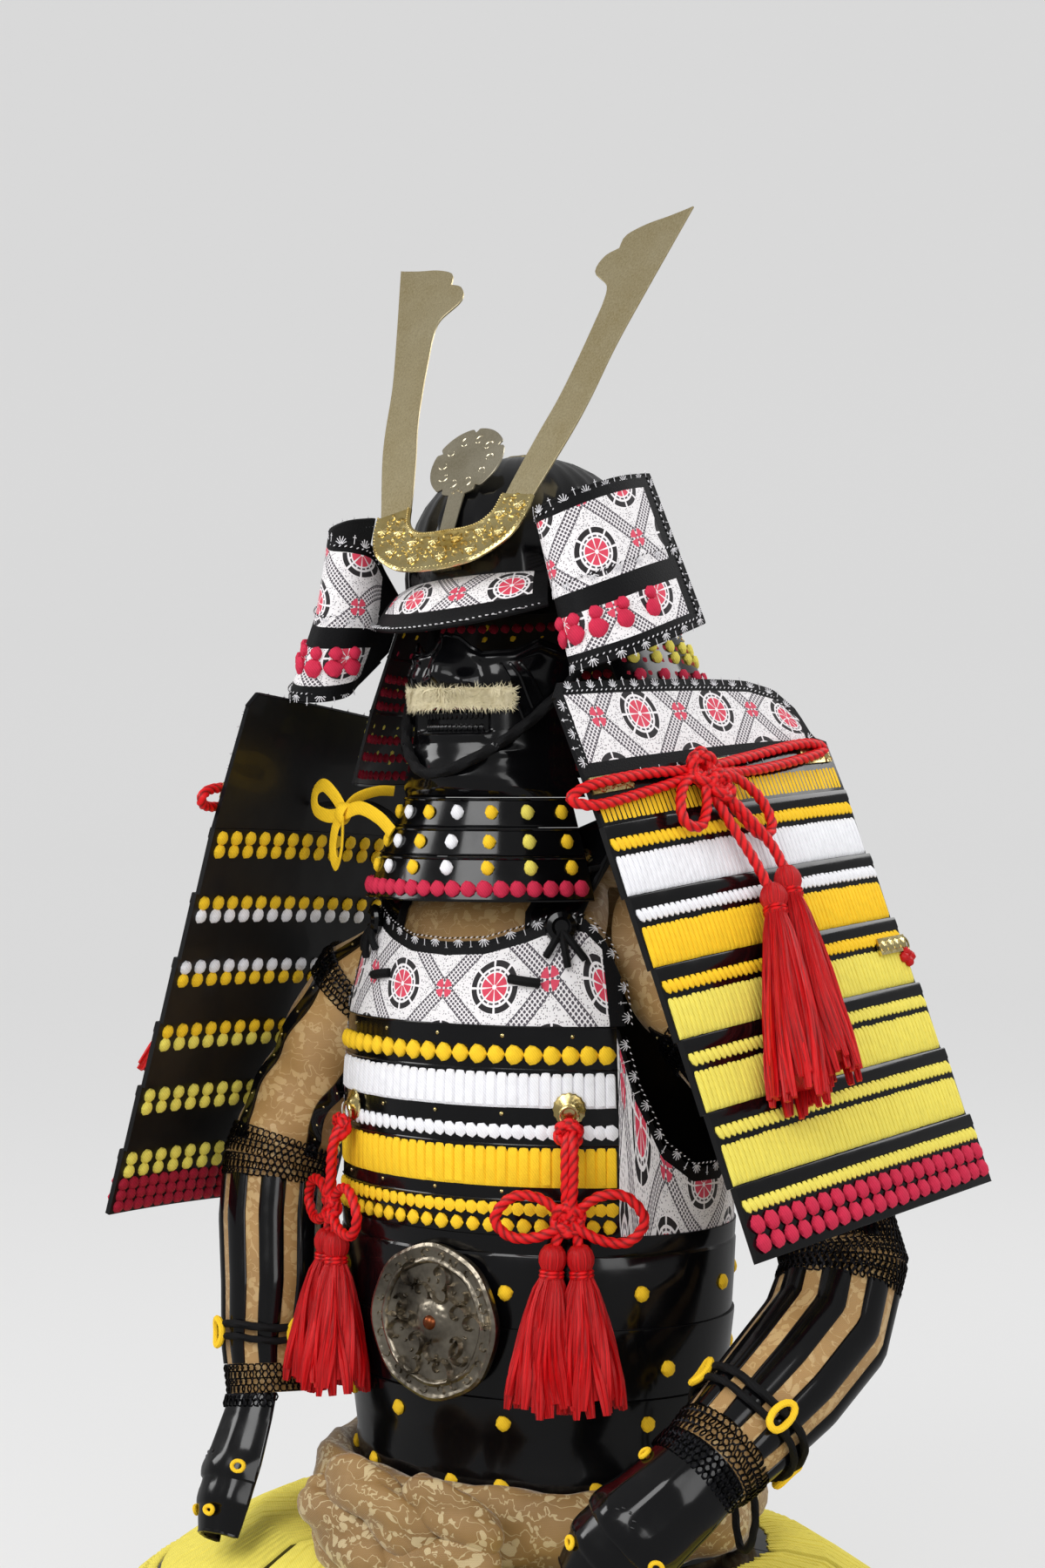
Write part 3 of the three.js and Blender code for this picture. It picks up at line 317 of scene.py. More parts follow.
def stencilled(name):
    # Smoked deerskin printed through stencils: matt pale skin with dots, lattice bands and wheels.
    tile = 0.092
    rows = [
        ON_CLOTH,
        ("skin", "TexCoord", {}, {}, 3),
        ("across", "SeparateXYZ", {}, {0: "place"}, 0),
        ("down", "SeparateXYZ", {}, {0: "place"}, 1),
        ("x", "Math.DIVIDE", {}, {0: "across", 1: tile}),
        ("y", "Math.DIVIDE", {}, {0: "down", 1: tile}),
        ("p", "Math.ADD", {}, {0: "x", 1: "y"}),
        ("q", "Math.SUBTRACT", {}, {0: "x", 1: "y"}),
        # Rows of small dots on the plain skin
        ("dots", "TexVoronoi", {}, {"Vector": "place", "Scale": 620.0, "Randomness": 0.7}),
        ("speck", "Math.LESS_THAN", {}, {0: "dots", 1: 0.34}),
        ("ground", "Mix", COLOURS, {0: "speck", 6: "#E4E1E2", 7: "#7C777C"}, 2),
        *wheel_rows("cross_", 0.0),
        *wheel_rows("wheel_", 0.5),
        # Lattice bands of openwork between two rails
        ("near_p", "Math.ABSOLUTE", {}, {0: "cross_p"}),
        ("near_q", "Math.ABSOLUTE", {}, {0: "cross_q"}),
        ("near", "Math.MINIMUM", {}, {0: "near_p", 1: "near_q"}),
        ("band", "Math.LESS_THAN", {}, {0: "near", 1: 0.088}),
        ("rail", "Math.GREATER_THAN", {}, {0: "near", 1: 0.076}),
    ]
    for way in ("p", "q"):
        rows += [
            ("turn_" + way, "Math.MULTIPLY", {}, {0: way, 1: TURN * 11}),
            ("wave_" + way, "Math.SINE", {}, {0: "turn_" + way}),
        ]
    rows += [
        ("net", "Math.MULTIPLY", {}, {0: "wave_p", 1: "wave_q"}),
        ("holes", "Math.ABSOLUTE", {}, {0: "net"}),
        ("leaf", "Math.GREATER_THAN", {}, {0: "holes", 1: 0.42}),
        ("print", "Math.MAXIMUM", {}, {0: "leaf", 1: "rail"}),
        ("openwork", "Mix", COLOURS, {0: "print", 6: "#E0DCDE", 7: "#4A444C"}, 2),
        ("c1", "Mix", COLOURS, {0: "band", 6: "ground", 7: "openwork"}, 2),
        # A small red flower where two bands cross
        *ring_rows("bud", "cross_", 0.012, 0.085, 4, 0.42),
        ("c2", "Mix", COLOURS, {0: "bud", 6: "c1", 7: "#D2405A"}, 2),
        # A wheel in each field: pale disc, black rim in eight parts, scalloped hub ring, red spokes
        *ring_rows("disc", "wheel_", -1.0, 0.222, 0, 0),
        ("c3", "Mix", COLOURS, {0: "disc", 6: "c2", 7: "#E8E4E6"}, 2),
        *ring_rows("rim", "wheel_", 0.166, 0.215, 8, 0.2),
        ("c4", "Mix", COLOURS, {0: "rim", 6: "c3", 7: "#1D181C"}, 2),
        *ring_rows("scallop", "wheel_", 0.13, 0.146, 16, 0.5),
        ("c5", "Mix", COLOURS, {0: "scallop", 6: "c4", 7: "#453B42"}, 2),
        *ring_rows("spokes", "wheel_", 0.02, 0.116, 8, 0.28),
        ("Base Color", "Mix", COLOURS, {0: "spokes", 6: "c5", 7: "#D23A54"}, 2),
        ("grain", "TexNoise", {}, {"Vector": "skin", "Scale": 420.0, "Detail": 3.0}),
        ("Normal", "Bump", {}, {"Strength": 0.4, "Distance": 0.0003, "Height": "grain"}),
    ]
    return surface(name, 0.74, 0.0, rows, Sheen_Weight=0.1)


def leather(name):
    # Smoked black leather edging: matt, with a fine grain.
    return surface(name, 0.62, 0.0, (
        ON_OBJECT,
        ("grain", "TexVoronoi", {}, {"Vector": "place", "Scale": 700.0}),
        ("Base Color", "Mix", COLOURS, {0: "grain", 6: "#050507", 7: "#0B0B0E"}, 2),
        ("Normal", "Bump", {}, {"Strength": 0.5, "Distance": 0.0003, "Height": "grain"}),
    ), Specular_IOR_Level=0.2)


def print_white(name):
    # White stencil paste on the edging: chalky and slightly broken.
    return surface(name, 0.8, 0.0, (
        ON_OBJECT,
        ("patch", "TexNoise", {}, {"Vector": "place", "Scale": 500.0, "Detail": 2.0}),
        ("Base Color", "Mix", COLOURS, {0: "patch", 6: "#B9B7BB", 7: "#F0EFF2"}, 2),
    ))


def brocade(name, deep, mid, bright, figured):
    # Silk brocade: a satin ground with vines and small leaves in paler thread, and a weave about 1 mm wide.
    return surface(name, 0.5, 0.0, (
        ON_OBJECT,
        ("bend", "TexNoise", {}, {"Vector": "place", "Scale": 30.0, "Detail": 2.0}, 1),
        ("bent", "Mix", {"data_type": "VECTOR"}, {0: 0.03, 4: "place", 5: "bend"}, 1),
        ("rings", "TexWave", {"wave_type": "RINGS"},
         {"Vector": "bent", "Scale": 30.0, "Distortion": 9.0, "Detail": 2.0, "Detail Scale": 3.0}),
        ("vine", "Math.GREATER_THAN", {}, {0: "rings", 1: 0.972}),
        ("cells", "TexVoronoi", {}, {"Vector": "bent", "Scale": 120.0}),
        ("leaf", "Math.LESS_THAN", {}, {0: "cells", 1: 0.44}),
        ("field", "TexNoise", {}, {"Vector": "place", "Scale": 34.0, "Detail": 1.0}),
        ("grove", "Math.GREATER_THAN", {}, {0: "field", 1: 0.5}),
        ("leaves", "Math.MULTIPLY", {}, {0: "leaf", 1: "grove"}),
        ("figure", "Math.MAXIMUM", {}, {0: "vine", 1: "leaves"}),
        ("shown", "Math.MULTIPLY", {}, {0: "figure", 1: figured}),
        ("cloud", "TexNoise", {}, {"Vector": "place", "Scale": 14.0, "Detail": 4.0}),
        ("ground", "Mix", COLOURS, {0: "cloud", 6: deep, 7: mid}, 2),
        ("woven", "Mix", COLOURS, {0: "shown", 6: "ground", 7: bright}, 2),
        ("warp", "TexWave", {"bands_direction": "Z"}, {"Vector": "place", "Scale": 300.0}),
        ("weft", "TexWave", {"bands_direction": "DIAGONAL"}, {"Vector": "place", "Scale": 330.0}),
        ("weave", "Math.MULTIPLY", {}, {0: "warp", 1: "weft"}),
        ("shadow", "Math.MULTIPLY", {}, {0: "weave", 1: 0.25}),
        ("Base Color", "Mix", COLOURS, {0: "shadow", 6: "woven", 7: deep}, 2),
        ("Roughness", "MapRange", {}, {0: "figure", 3: 0.44, 4: 0.3}),
        ("height", "Math.MULTIPLY_ADD", {}, {0: "figure", 1: 0.6, 2: "weave"}),
        ("Normal", "Bump", {}, {"Strength": 0.6, "Distance": 0.0004, "Height": "height"}),
    ), Sheen_Weight=0.3, Sheen_Roughness=0.35)


def twisted(name, colour, radius):
    # Three-strand silk rope: satin threads, with painted shade in the grooves that wind between the strands.
    around, along = TURN * 1.5 / (TURN * radius * 1.05 * MM), TURN * 1.5 / (ROPE_LAY * MM)
    return surface(name, 0.42, 0.0, (
        ON_CLOTH,
        ("u", "SeparateXYZ", {}, {0: "place"}, 0),
        ("v", "SeparateXYZ", {}, {0: "place"}, 1),
        ("round", "Math.MULTIPLY", {}, {0: "u", 1: around}),
        ("wound", "Math.MULTIPLY_ADD", {}, {0: "v", 1: -along, 2: "round"}),
        ("wave", "Math.COSINE", {}, {0: "wound"}),
        # Painted shade: strand is 1 on the strands and 0 in the grooves between them, where the colour falls
        # to 0.12 of itself
        ("strand", "Math.ABSOLUTE", {}, {0: "wave"}),
        ("lines", "Mapping", {}, {"Vector": "place", "Rotation": (0, 0, 0.7), "Scale": (2600.0, 260.0, 1.0)}),
        ("thread", "TexNoise", {}, {"Vector": "lines", "Scale": 1.0, "Detail": 3.0}),
        ("light", "Math.MULTIPLY_ADD", {}, {0: "thread", 1: 0.5, 2: -0.12}),
        ("tone", "Math", {"operation": "ADD", "use_clamp": True}, {0: "strand", 1: "light"}),
        ("Base Color", "Mix", COLOURS, {0: "tone", 6: darker(colour, 0.12), 7: colour}, 2),
        ("Normal", "Bump", {}, {"Strength": 0.6, "Distance": 0.0005, "Height": "thread"}),
    ), Sheen_Weight=0.35, Sheen_Roughness=0.3, Sheen_Tint=colour, Specular_IOR_Level=0.3)


def loose_thread(name, colour):
    # Loose silk thread of a tassel: streaks that follow the strand, darkened to a quarter of the colour as
    # painted shade between the threads, with a satin light.
    return surface(name, 0.42, 0.0, (
        ON_CLOTH,
        ("lines", "Mapping", {}, {"Vector": "place", "Scale": (1500.0, 12.0, 1.0)}),
        ("streak", "TexNoise", {}, {"Vector": "lines", "Scale": 1.0, "Detail": 4.0, "Roughness": 0.65}),
        # Painted shade: the low streaks of the bump are also the dark ones
        ("tone", "MapRange", {}, {0: "streak", 1: 0.36, 2: 0.62}),
        ("Base Color", "Mix", COLOURS, {0: "tone", 6: darker(colour, 0.25), 7: colour}, 2),
        ("Normal", "Bump", {}, {"Strength": 0.9, "Distance": 0.0012, "Height": "streak"}),
    ), Sheen_Weight=0.4, Sheen_Roughness=0.3, Sheen_Tint=colour, Specular_IOR_Level=0.3)


def fur_hair(name):
    # Pale animal hair: cream and straw in random patches.
    return surface(name, 0.6, 0.0, (
        ON_OBJECT,
        ("patch", "TexNoise", {}, {"Vector": "place", "Scale": 160.0, "Detail": 3.0}),
        ("Base Color", "Mix", COLOURS, {0: "patch", 6: "#B7A878", 7: "#EFE6C8"}, 2),
    ), Sheen_Weight=0.3)


def make_materials():
    """All finishes, by their short names."""
    settings = bpy.context.scene.armour
    chosen = {name: (*getattr(settings, name), 1.0) for name in ("amber", "lemon", "pearl", "pink", "red")}
    CHOSEN.update({
        "lacquer": lacquer("black_lacquer"),
        "lining": lacquer("black_lacquer_inside", "#060607", 0.42),
        "red_lacquer": lacquer("red_lacquer", "#7E1512", 0.2),
        "amber": braid("amber_silk_lace", chosen["amber"]),
        "lemon": braid("lemon_silk_lace", chosen["lemon"]),
        "pearl": braid("white_silk_lace", chosen["pearl"]),
        "pink": braid("crimson_pink_lace", chosen["pink"], 0.6),
        "crimson": braid("crimson_lace", linear("#A81631"), 0.5),
        "black_cord": braid("black_cotton_cord", linear("#0E0E10"), 0.4, 0.1),
        "stencil": stencilled("stencilled_deerskin"),
        "edging": leather("black_edge_leather"),
        "paste": print_white("white_stencil_paste"),
        "brass": metal("brushed_brass", "#BBA878", "#EFE2BC", 0.33, brushed=0.6),
        "gilt": metal("gilt_copper", "#BFA050", "#F7E8AE", 0.2, relief=0.0006),
        "silver": metal("silvered_brass", "#A1967A", "#E2D9C0", 0.25, brushed=0.3),
        "bronze": metal("dark_bronze", "#3A3530", "#B4AA98", 0.26, relief=0.0009),
        "copper": metal("copper_boss", "#5A2A16", "#A8613C", 0.3),
        "iron": metal("blackened_iron_rings", "#0B0B0C", "#2A2A2E", 0.42),
        "brocade": brocade("gold_brocade", "#8A6636", "#C29A60", "#E6CB96", 0.34),
        "sash": brocade("gold_brocade_sash", "#6A4C24", "#B58F56", "#E6D6A8", 0.5),
        "rope": twisted("red_silk_rope", chosen["red"], settings.rope_radius / MM),
        "fringe": loose_thread("red_silk_fringe", chosen["red"]),
        "fur": fur_hair("cream_hair"),
    })


# Drafts: the faces of one piece, gathered before it becomes a mesh

class Draft:
    """The faces of one piece, in millimetres, each with its material and its place on the cloth."""

    def __init__(self):
        self.points, self.faces, self.places, self.marks = [], [], [], []
        self.materials, self.repeats = [], {}

    def mark(self, finish):
        if finish not in self.materials:
            self.materials.append(finish)
        return self.materials.index(finish)

    def close(self, faces):
        """Adds the faces of one closed form, turned so that they point out."""
        volume = 0.0
        for corners, _, _ in faces:
            a = self.points[corners[0]]
            for i, j in zip(corners[1:], corners[2:]):
                volume += dot(a, cross(self.points[i], self.points[j]))
        for corners, places, finish in faces:
            order = corners if volume > 0 else corners[::-1]
            self.faces.append(order)
            self.places.append(places if volume > 0 else places[::-1])
            self.marks.append(self.mark(finish))

    def wall(self, outer, inner, us, vs, skin, lining=None, rim=None, wrap=False, origin=(0, 0)):
        """A closed wall between two surfaces. skin may be a function of the cell."""
        nu, nv = len(us), len(vs)
        o = [[outer(u, v) for u in us] for v in vs]
        base = len(self.points)
        for row in o:
            self.points += row
        for v in vs:
            self.points += [inner(u, v) for u in us]
        middle = o[nv // 2]
        along = [origin[0] * MM]
        for i in range(nu if wrap else nu - 1):
            along.append(along[-1] + length(minus(middle[(i + 1) % nu], middle[i])) * MM)
        down = [origin[1] * MM]
        for j in range(nv - 1):
            down.append(down[-1] + length(minus(o[j + 1][nu // 2], o[j][nu // 2])) * MM)
        lining = lining or (skin if isinstance(skin, str) else "lining")
        rim = rim or lining
        inside = base + nu * nv
        faces = []
        for j in range(nv - 1):
            for i in range(nu if wrap else nu - 1):
                k = (i + 1) % nu
                places = ((along[i], down[j]), (along[i + 1], down[j]),
                          (along[i + 1], down[j + 1]), (along[i], down[j + 1]))
                a, b, c, d = j * nu + i, j * nu + k, (j + 1) * nu + k, (j + 1) * nu + i
                finish = skin if isinstance(skin, str) else skin(i, j)
                faces.append(((base + a, base + b, base + c, base + d), places, finish))
                faces.append(((inside + d, inside + c, inside + b, inside + a), places[::-1], lining))
        edge = ((0, 0), (0, 0), (0, 0), (0, 0))
        last = (nv - 1) * nu
        for i in range(nu if wrap else nu - 1):
            k = (i + 1) % nu
            faces.append(((base + k, base + i, inside + i, inside + k), edge, rim))
            faces.append(((base + last + i, base + last + k, inside + last + k, inside + last + i), edge,
                          rim))
        if not wrap:
            end = nu - 1
            for j in range(nv - 1):
                a, b = j * nu, (j + 1) * nu
                faces.append(((base + a, base + b, inside + b, inside + a), edge, rim))
                faces.append(((base + b + end, base + a + end, inside + a + end, inside + b + end), edge,
                              rim))
        self.close(faces)

    def shell(self, at, outer, inner, *rest, **more):
        """A closed wall between two depths of one surface at(u, v, depth)."""
        self.wall(lambda u, v: at(u, v, outer), lambda u, v: at(u, v, inner), *rest, **more)

    def tube(self, path, radius, sides, finish, closed=False, across=None, flat=1.0):
        """A tube along a path; the radius may be a function of the station and the angle."""
        count = len(path)
        size = radius if callable(radius) else (lambda i, angle: radius)
        base = len(self.points)
        side = across
        run = 0.0
        runs = []
        for i, p in enumerate(path):
            before = path[(i - 1) % count] if closed else path[max(0, i - 1)]
            after = path[(i + 1) % count] if closed else path[min(count - 1, i + 1)]
            way = unit(minus(after, before))
            if side is None:
                side = cross(way, (0, 0, 1) if abs(way[2]) < 0.8 else (0, 1, 0))
            side = unit(add(side, way, -dot(side, way)))
            up = cross(way, side)
            for k in range(sides):
                angle = TURN * k / sides
                r = size(i, angle)
                self.points.append(add(add(p, side, r * cos(angle)), up, r * flat * sin(angle)))
            runs.append(run)
            run += length(minus(path[(i + 1) % count], p)) * MM
        runs.append(run)
        girth = TURN * size(0, 0) * MM
        faces = []
        for i in range(count if closed else count - 1):
            n = (i + 1) % count
            for k in range(sides):
                m = (k + 1) % sides
                g, h = girth * k / sides, girth * (k + 1) / sides
                faces.append((
                    (base + i * sides + k, base + i * sides + m, base + n * sides + m, base + n * sides + k),
                    ((g, runs[i]), (h, runs[i]), (h, runs[i + 1]), (g, runs[i + 1])), finish))
        if not closed:
            first = tuple(base + k for k in range(sides))
            final = tuple(base + (count - 1) * sides + k for k in range(sides))
            none = tuple((0, 0) for _ in range(sides))
            faces.append((first[::-1], none, finish))
            faces.append((final, none, finish))
        self.close(faces)

    def turned(self, centre, axis, rows, sides, finish, lobes=0, lobe_size=0.0):
        """A solid of revolution from rows of distance along the axis and radius."""
        n = unit(axis)
        s = unit(cross(n, (0, 0, 1) if abs(n[2]) < 0.8 else (0, 1, 0)))
        t = cross(n, s)
        base = len(self.points)
        for along, r in rows:
            for k in range(sides):
                angle = TURN * k / sides
                reach = max(r, 0.02) * (1 + lobe_size * cos(lobes * angle))
                p = add(centre, n, along)
                self.points.append(add(add(p, s, reach * cos(angle)), t, reach * sin(angle)))
        faces = []
        for j in range(len(rows) - 1):
            for k in range(sides):
                m = (k + 1) % sides
                corners = (base + j * sides + k, base + j * sides + m,
                           base + (j + 1) * sides + m, base + (j + 1) * sides + k)
                g = [TURN * max(rows[j][1], rows[j + 1][1]) * x / sides * MM for x in (k, k + 1)]
                v = (rows[j][0] * MM, rows[j + 1][0] * MM)
                faces.append((corners, ((g[0], v[0]), (g[1], v[0]), (g[1], v[1]), (g[0], v[1])), finish))
        none = tuple((0, 0) for _ in range(sides))
        faces.append((tuple(base + k for k in range(sides))[::-1], none, finish))
        faces.append((tuple(base + (len(rows) - 1) * sides + k for k in range(sides)), none, finish))
        self.close(faces)

    def plate(self, outline, low, high, to_place, finish, bevel=0.0):
        """A flat plate cut to an outline, then carried to its place by a function."""
        n = len(outline)
        base = len(self.points)
        levels = [(low, 0.0), (high - bevel, 0.0), (high, bevel)] if bevel else [(low, 0.0), (high, 0.0)]
        for depth, inset in levels:
            for i, (x, y) in enumerate(outline):
                if inset:
                    (ax, ay), (bx, by) = outline[i - 1], outline[(i + 1) % n]
                    dx, dy = bx - ax, by - ay
                    size = hypot(dx, dy) or 1
                    x, y = x - dy / size * inset, y + dx / size * inset
                self.points.append(to_place((x, y, depth)))
        faces = []
        for lift in range(len(levels) - 1):
            for i in range(n):
                k = (i + 1) % n
                a = base + lift * n
                faces.append(((a + i, a + k, a + n + k, a + n + i), ((0, 0), (0, 0), (0, 0), (0, 0)), finish))
        top = base + (len(levels) - 1) * n
        none = tuple((x * MM, y * MM) for x, y in outline)
        faces.append((tuple(base + i for i in range(n))[::-1], none[::-1], finish))
        faces.append((tuple(top + i for i in range(n)), none, finish))
        self.close(faces)

    def repeat(self, shape, finish, point, along, out, size, slant=0.0):
        """Remembers one copy of a small shape, lying along a direction and facing out."""
        z = unit(out)
        x = unit(add(along, z, -dot(along, z)))
        if slant:
            y = cross(z, x)
            x = unit(add(tuple(c * cos(slant * RAD) for c in x), y, sin(slant * RAD)))
        self.repeats.setdefault((shape, finish), []).append((point, x, z, size))

    def absorb(self, mesh, finish):
        """Takes over the faces of a finished mesh."""
        base = len(self.points)
        mark = self.mark(finish)
        layer = mesh.uv_layers[0].data if mesh.uv_layers else None
        self.points += [tuple(v.co) for v in mesh.vertices]
        for face in mesh.polygons:
            self.faces.append(tuple(base + i for i in face.vertices))
            self.places.append(tuple(
                tuple(layer[k].uv) if layer else (0.0, 0.0) for k in face.loop_indices))
            self.marks.append(mark)

    def piece(self, name, *nodes, slot=None, sharp=35.0):
        """Makes the mesh, stands it for its CAD nodes and lets it ride."""
        for (shape, finish), places in self.repeats.items():
            made = repeated(shape, finish, places)
            self.absorb(made, finish)
            bpy.data.meshes.remove(made)
        mesh = bpy.data.meshes.new(name)
        mesh.from_pydata([tuple(c * MM for c in p) for p in self.points], [], self.faces)
        layer = mesh.uv_layers.new(name="UVMap")
        flat = [c for places in self.places for place in places for c in place]
        layer.data.foreach_set("uv", flat)
        for finish in self.materials:
            mesh.materials.append(CHOSEN[finish])
        mesh.polygons.foreach_set("material_index", self.marks)
        mesh.shade_smooth()
        mesh.set_sharp_from_angle(angle=sharp * RAD)
        mesh.update()
        made = bpy.data.objects.new(name, mesh)
        bpy.context.scene.collection.objects.link(made)
        if nodes:
            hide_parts(*nodes)
        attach(made, "root")
        return made


def declare_cord(made, path, far_end):
    """Says that a piece is a free cord along a path in millimetres."""
    metres = [tuple(c * MM for c in p) for p in path]
    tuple(metres[0])
    path_length(metres)


# Small shapes that repeat

def round_shape(rings, spokes, radius):
    """A closed form from a radius for each latitude and angle; it lies on its middle."""
    points, faces = [(0, 0, -radius(-90, 0))], []
    for j in range(1, rings):
        lat = -90 + 180 * j / rings
        for k in range(spokes):
            turn = 360 * k / spokes
            r = radius(lat, turn)
            points.append((r * cos(lat * RAD) * cos(turn * RAD),
                           r * cos(lat * RAD) * sin(turn * RAD),
                           r * sin(lat * RAD)))
    points.append((0, 0, radius(90, 0)))
    top = len(points) - 1
    for k in range(spokes):
        m = (k + 1) % spokes
        faces.append((0, 1 + m, 1 + k))
        for j in range(rings - 2):
            a = 1 + j * spokes
            faces.append((a + k, a + m, a + spokes + m, a + spokes + k))
        a = 1 + (rings - 2) * spokes
        faces.append((a + k, a + m, top))
    return points, faces


def box_shape(x0, x1, y0, y1, z0, z1, spin=0.0):
    """Corners and faces of a thin bar in the plane, turned about the origin."""
    c, s = cos(spin * RAD), sin(spin * RAD)
    flat = [(x0, y0), (x1, y0), (x1, y1), (x0, y1)]
    points = [(x * c - y * s, x * s + y * c, z) for z in (z0, z1) for x, y in flat]
    faces = [(3, 2, 1, 0), (4, 5, 6, 7), (0, 1, 5, 4), (1, 2, 6, 5), (2, 3, 7, 6), (3, 0, 4, 7)]
    return points, faces


def joined(shapes):
    points, faces = [], []
    for more, sides in shapes:
        base = len(points)
        points += more
        faces += [tuple(base + i for i in f) for f in sides]
    return points, faces


def small_shapes():
    """Each repeated shape, about one unit across, lying in x and y and facing z."""
    def knot(lat, turn):
        wraps = 0.07 * cos(3 * turn * RAD + 2.6 * sin(lat * RAD) * 2)
        squared = 0.06 * abs(sin(2 * turn * RAD))
        return 0.5 * (1 - squared + wraps * cos(lat * RAD))

    def twist(lat, turn):
        return 0.5 * (1 - 0.05 * abs(sin(2 * turn * RAD)))

    def petal(lat, turn):
        return 0.5 * (1 - 0.22 * abs(sin(4 * turn * RAD)) * cos(lat * RAD)
                      - (0.25 if lat > 50 else 0))

    fan = [box_shape(-0.035, 0.035, 0.1, reach, 0, 0.3, spin)
           for spin, reach in ((-60, 0.62), (-36, 0.74), (-13, 0.82), (13, 0.82), (36, 0.74), (60, 0.62))]
    mark = [box_shape(-0.035, 0.035, 0.05, 1.1, 0, 0.3), box_shape(-0.2, 0.2, 0.78, 0.86, 0, 0.3)]
    points, faces = [], []
    for i in range(6):
        a = TURN * i / 6
        for k in range(3):
            b = TURN * k / 3
            r = 0.42 + 0.12 * cos(b)
            points.append((r * cos(a), r * sin(a), 0.12 * sin(b)))
    for i in range(6):
        for k in range(3):
            n, m = (i + 1) % 6, (k + 1) % 3
            faces.append((i * 3 + k, n * 3 + k, n * 3 + m, i * 3 + m))
    link = (points, faces)
    hair_points = [(0.5 * cos(TURN * k / 3), 0.5 * sin(TURN * k / 3), 0) for k in range(3)]
    hair_points += [(0.42 * cos(TURN * k / 3) + 0.7, 0.42 * sin(TURN * k / 3),
                     0.6) for k in range(3)]
    hair_points += [(2.4, 0, 1.0)]
    hair_faces = [(2, 1, 0), (0, 1, 4, 3), (1, 2, 5, 4), (2, 0, 3, 5), (3, 4, 6), (4, 5, 6), (5, 3, 6)]
    scroll_points, scroll_faces = [], []
    turns = 13
    for i in range(turns):
        t = i / (turns - 1)
        a = 4.6 * t
        r = 0.5 * (1 - 0.82 * t)
        w = 0.09 * (1 - 0.4 * t)
        for k in range(4):
            b = TURN * k / 4
            scroll_points.append(((r + w * cos(b)) * cos(a), (r + w * cos(b)) * sin(a),
                                  w * 1.5 * sin(b)))
    for i in range(turns - 1):
        for k in range(4):
            m = (k + 1) % 4
            scroll_faces.append((i * 4 + k, (i + 1) * 4 + k, (i + 1) * 4 + m, i * 4 + m))
    scroll_faces += [(0, 1, 2, 3), tuple((turns - 1) * 4 + k for k in (3, 2, 1, 0))]
    return {
        "knot": round_shape(6, 10, knot),
        "twist": round_shape(5, 7, twist),
        "dome": round_shape(5, 8, lambda lat, turn: 0.5),
        "rosette": round_shape(6, 16, petal),
        "fan": joined(fan),
        "sprig": joined(mark),
        "link": link,
        "hair": (hair_points, hair_faces),
        "scroll": (scroll_points, scroll_faces),
    }


SHAPES = {}
# Share by which a repeated shape's size varies, and the seed for it
VARIATION = 0.05
SEED = 5


def shape_object(name):
    if name not in SHAPES:
        points, faces = small_shapes()[name]
        mesh = bpy.data.meshes.new("shape_" + name)
        mesh.from_pydata(points, [], faces)
        made = bpy.data.objects.new("shape_" + name, mesh)
        bpy.context.scene.collection.objects.link(made)
        SHAPES[name] = made
    return SHAPES[name]


def repeat_tree():
    """Geometry nodes that put a shape on every point, turned and sized by the point's own values."""
    tree = bpy.data.node_groups.get("repeat_on_points")
    if tree:
        return tree
    tree = bpy.data.node_groups.new("repeat_on_points", "GeometryNodeTree")
    for name, kind in (("Geometry", "Geometry"), ("Shape", "Object"), ("Finish", "Material"),
                       ("Least size", "Float"), ("Greatest size", "Float"), ("Seed", "Int")):
        tree.interface.new_socket(name, in_out="INPUT", socket_type="NodeSocket" + kind)
    tree.interface.new_socket("Geometry", in_out="OUTPUT", socket_type="NodeSocketGeometry")
    given = tree.nodes.new("NodeGroupInput").outputs
    vector = {"data_type": "FLOAT_VECTOR"}
    shape = node(tree, "GeometryNodeObjectInfo", {}, {"Object": given["Shape"]}, "Geometry")
    turn = node(tree, "GeometryNodeInputNamedAttribute", vector, {0: "turn"})
    size = node(tree, "GeometryNodeInputNamedAttribute", vector, {0: "size"})
    vary = node(tree, "FunctionNodeRandomValue", {"data_type": "FLOAT"}, {
        2: given["Least size"], 3: given["Greatest size"], "Seed": given["Seed"]}, 1)
    scale = node(tree, "VectorMath.SCALE", {}, {0: size, "Scale": vary})
    copies = node(tree, "GeometryNodeInstanceOnPoints", {}, {
        "Points": given["Geometry"], "Instance": shape, "Rotation": turn, "Scale": scale})
    real = node(tree, "GeometryNodeRealizeInstances", {}, {0: copies})
    paint = node(tree, "GeometryNodeSetMaterial", {}, {0: real, "Material": given["Finish"]})
    tree.links.new(paint, tree.nodes.new("NodeGroupOutput").inputs[0])
    return tree


def repeated(shape, finish, places):
    """The plain mesh of a shape put at each place by the tree above."""
    mesh = bpy.data.meshes.new("points_" + shape)
    mesh.from_pydata([point for point, _, _, _ in places], [], [])
    turn = mesh.attributes.new("turn", "FLOAT_VECTOR", "POINT")
    size = mesh.attributes.new("size", "FLOAT_VECTOR", "POINT")
    for i, (_, x, z, scale) in enumerate(places):
        turn.data[i].vector = Matrix((x, cross(z, x), z)).transposed().to_euler()
        size.data[i].vector = scale
    made = bpy.data.objects.new("points_" + shape, mesh)
    bpy.context.scene.collection.objects.link(made)
    tree = repeat_tree()
    modifier = made.modifiers.new("repeat", "NODES")
    modifier.node_group = tree
    inputs = {s.name: s.identifier for s in tree.interface.items_tree if s.in_out == "INPUT"}
    for name, value in (("Shape", shape_object(shape)), ("Finish", CHOSEN[finish]), ("Seed", SEED),
                        ("Least size", 1 - VARIATION), ("Greatest size", 1 + VARIATION)):
        modifier[inputs[name]] = value
    bpy.context.view_layer.update()
    seen = made.evaluated_get(bpy.context.evaluated_depsgraph_get())
    out = bpy.data.meshes.new_from_object(seen)
    made.modifiers.remove(modifier)
    bpy.data.objects.remove(made)
    bpy.data.meshes.remove(mesh)
    return out


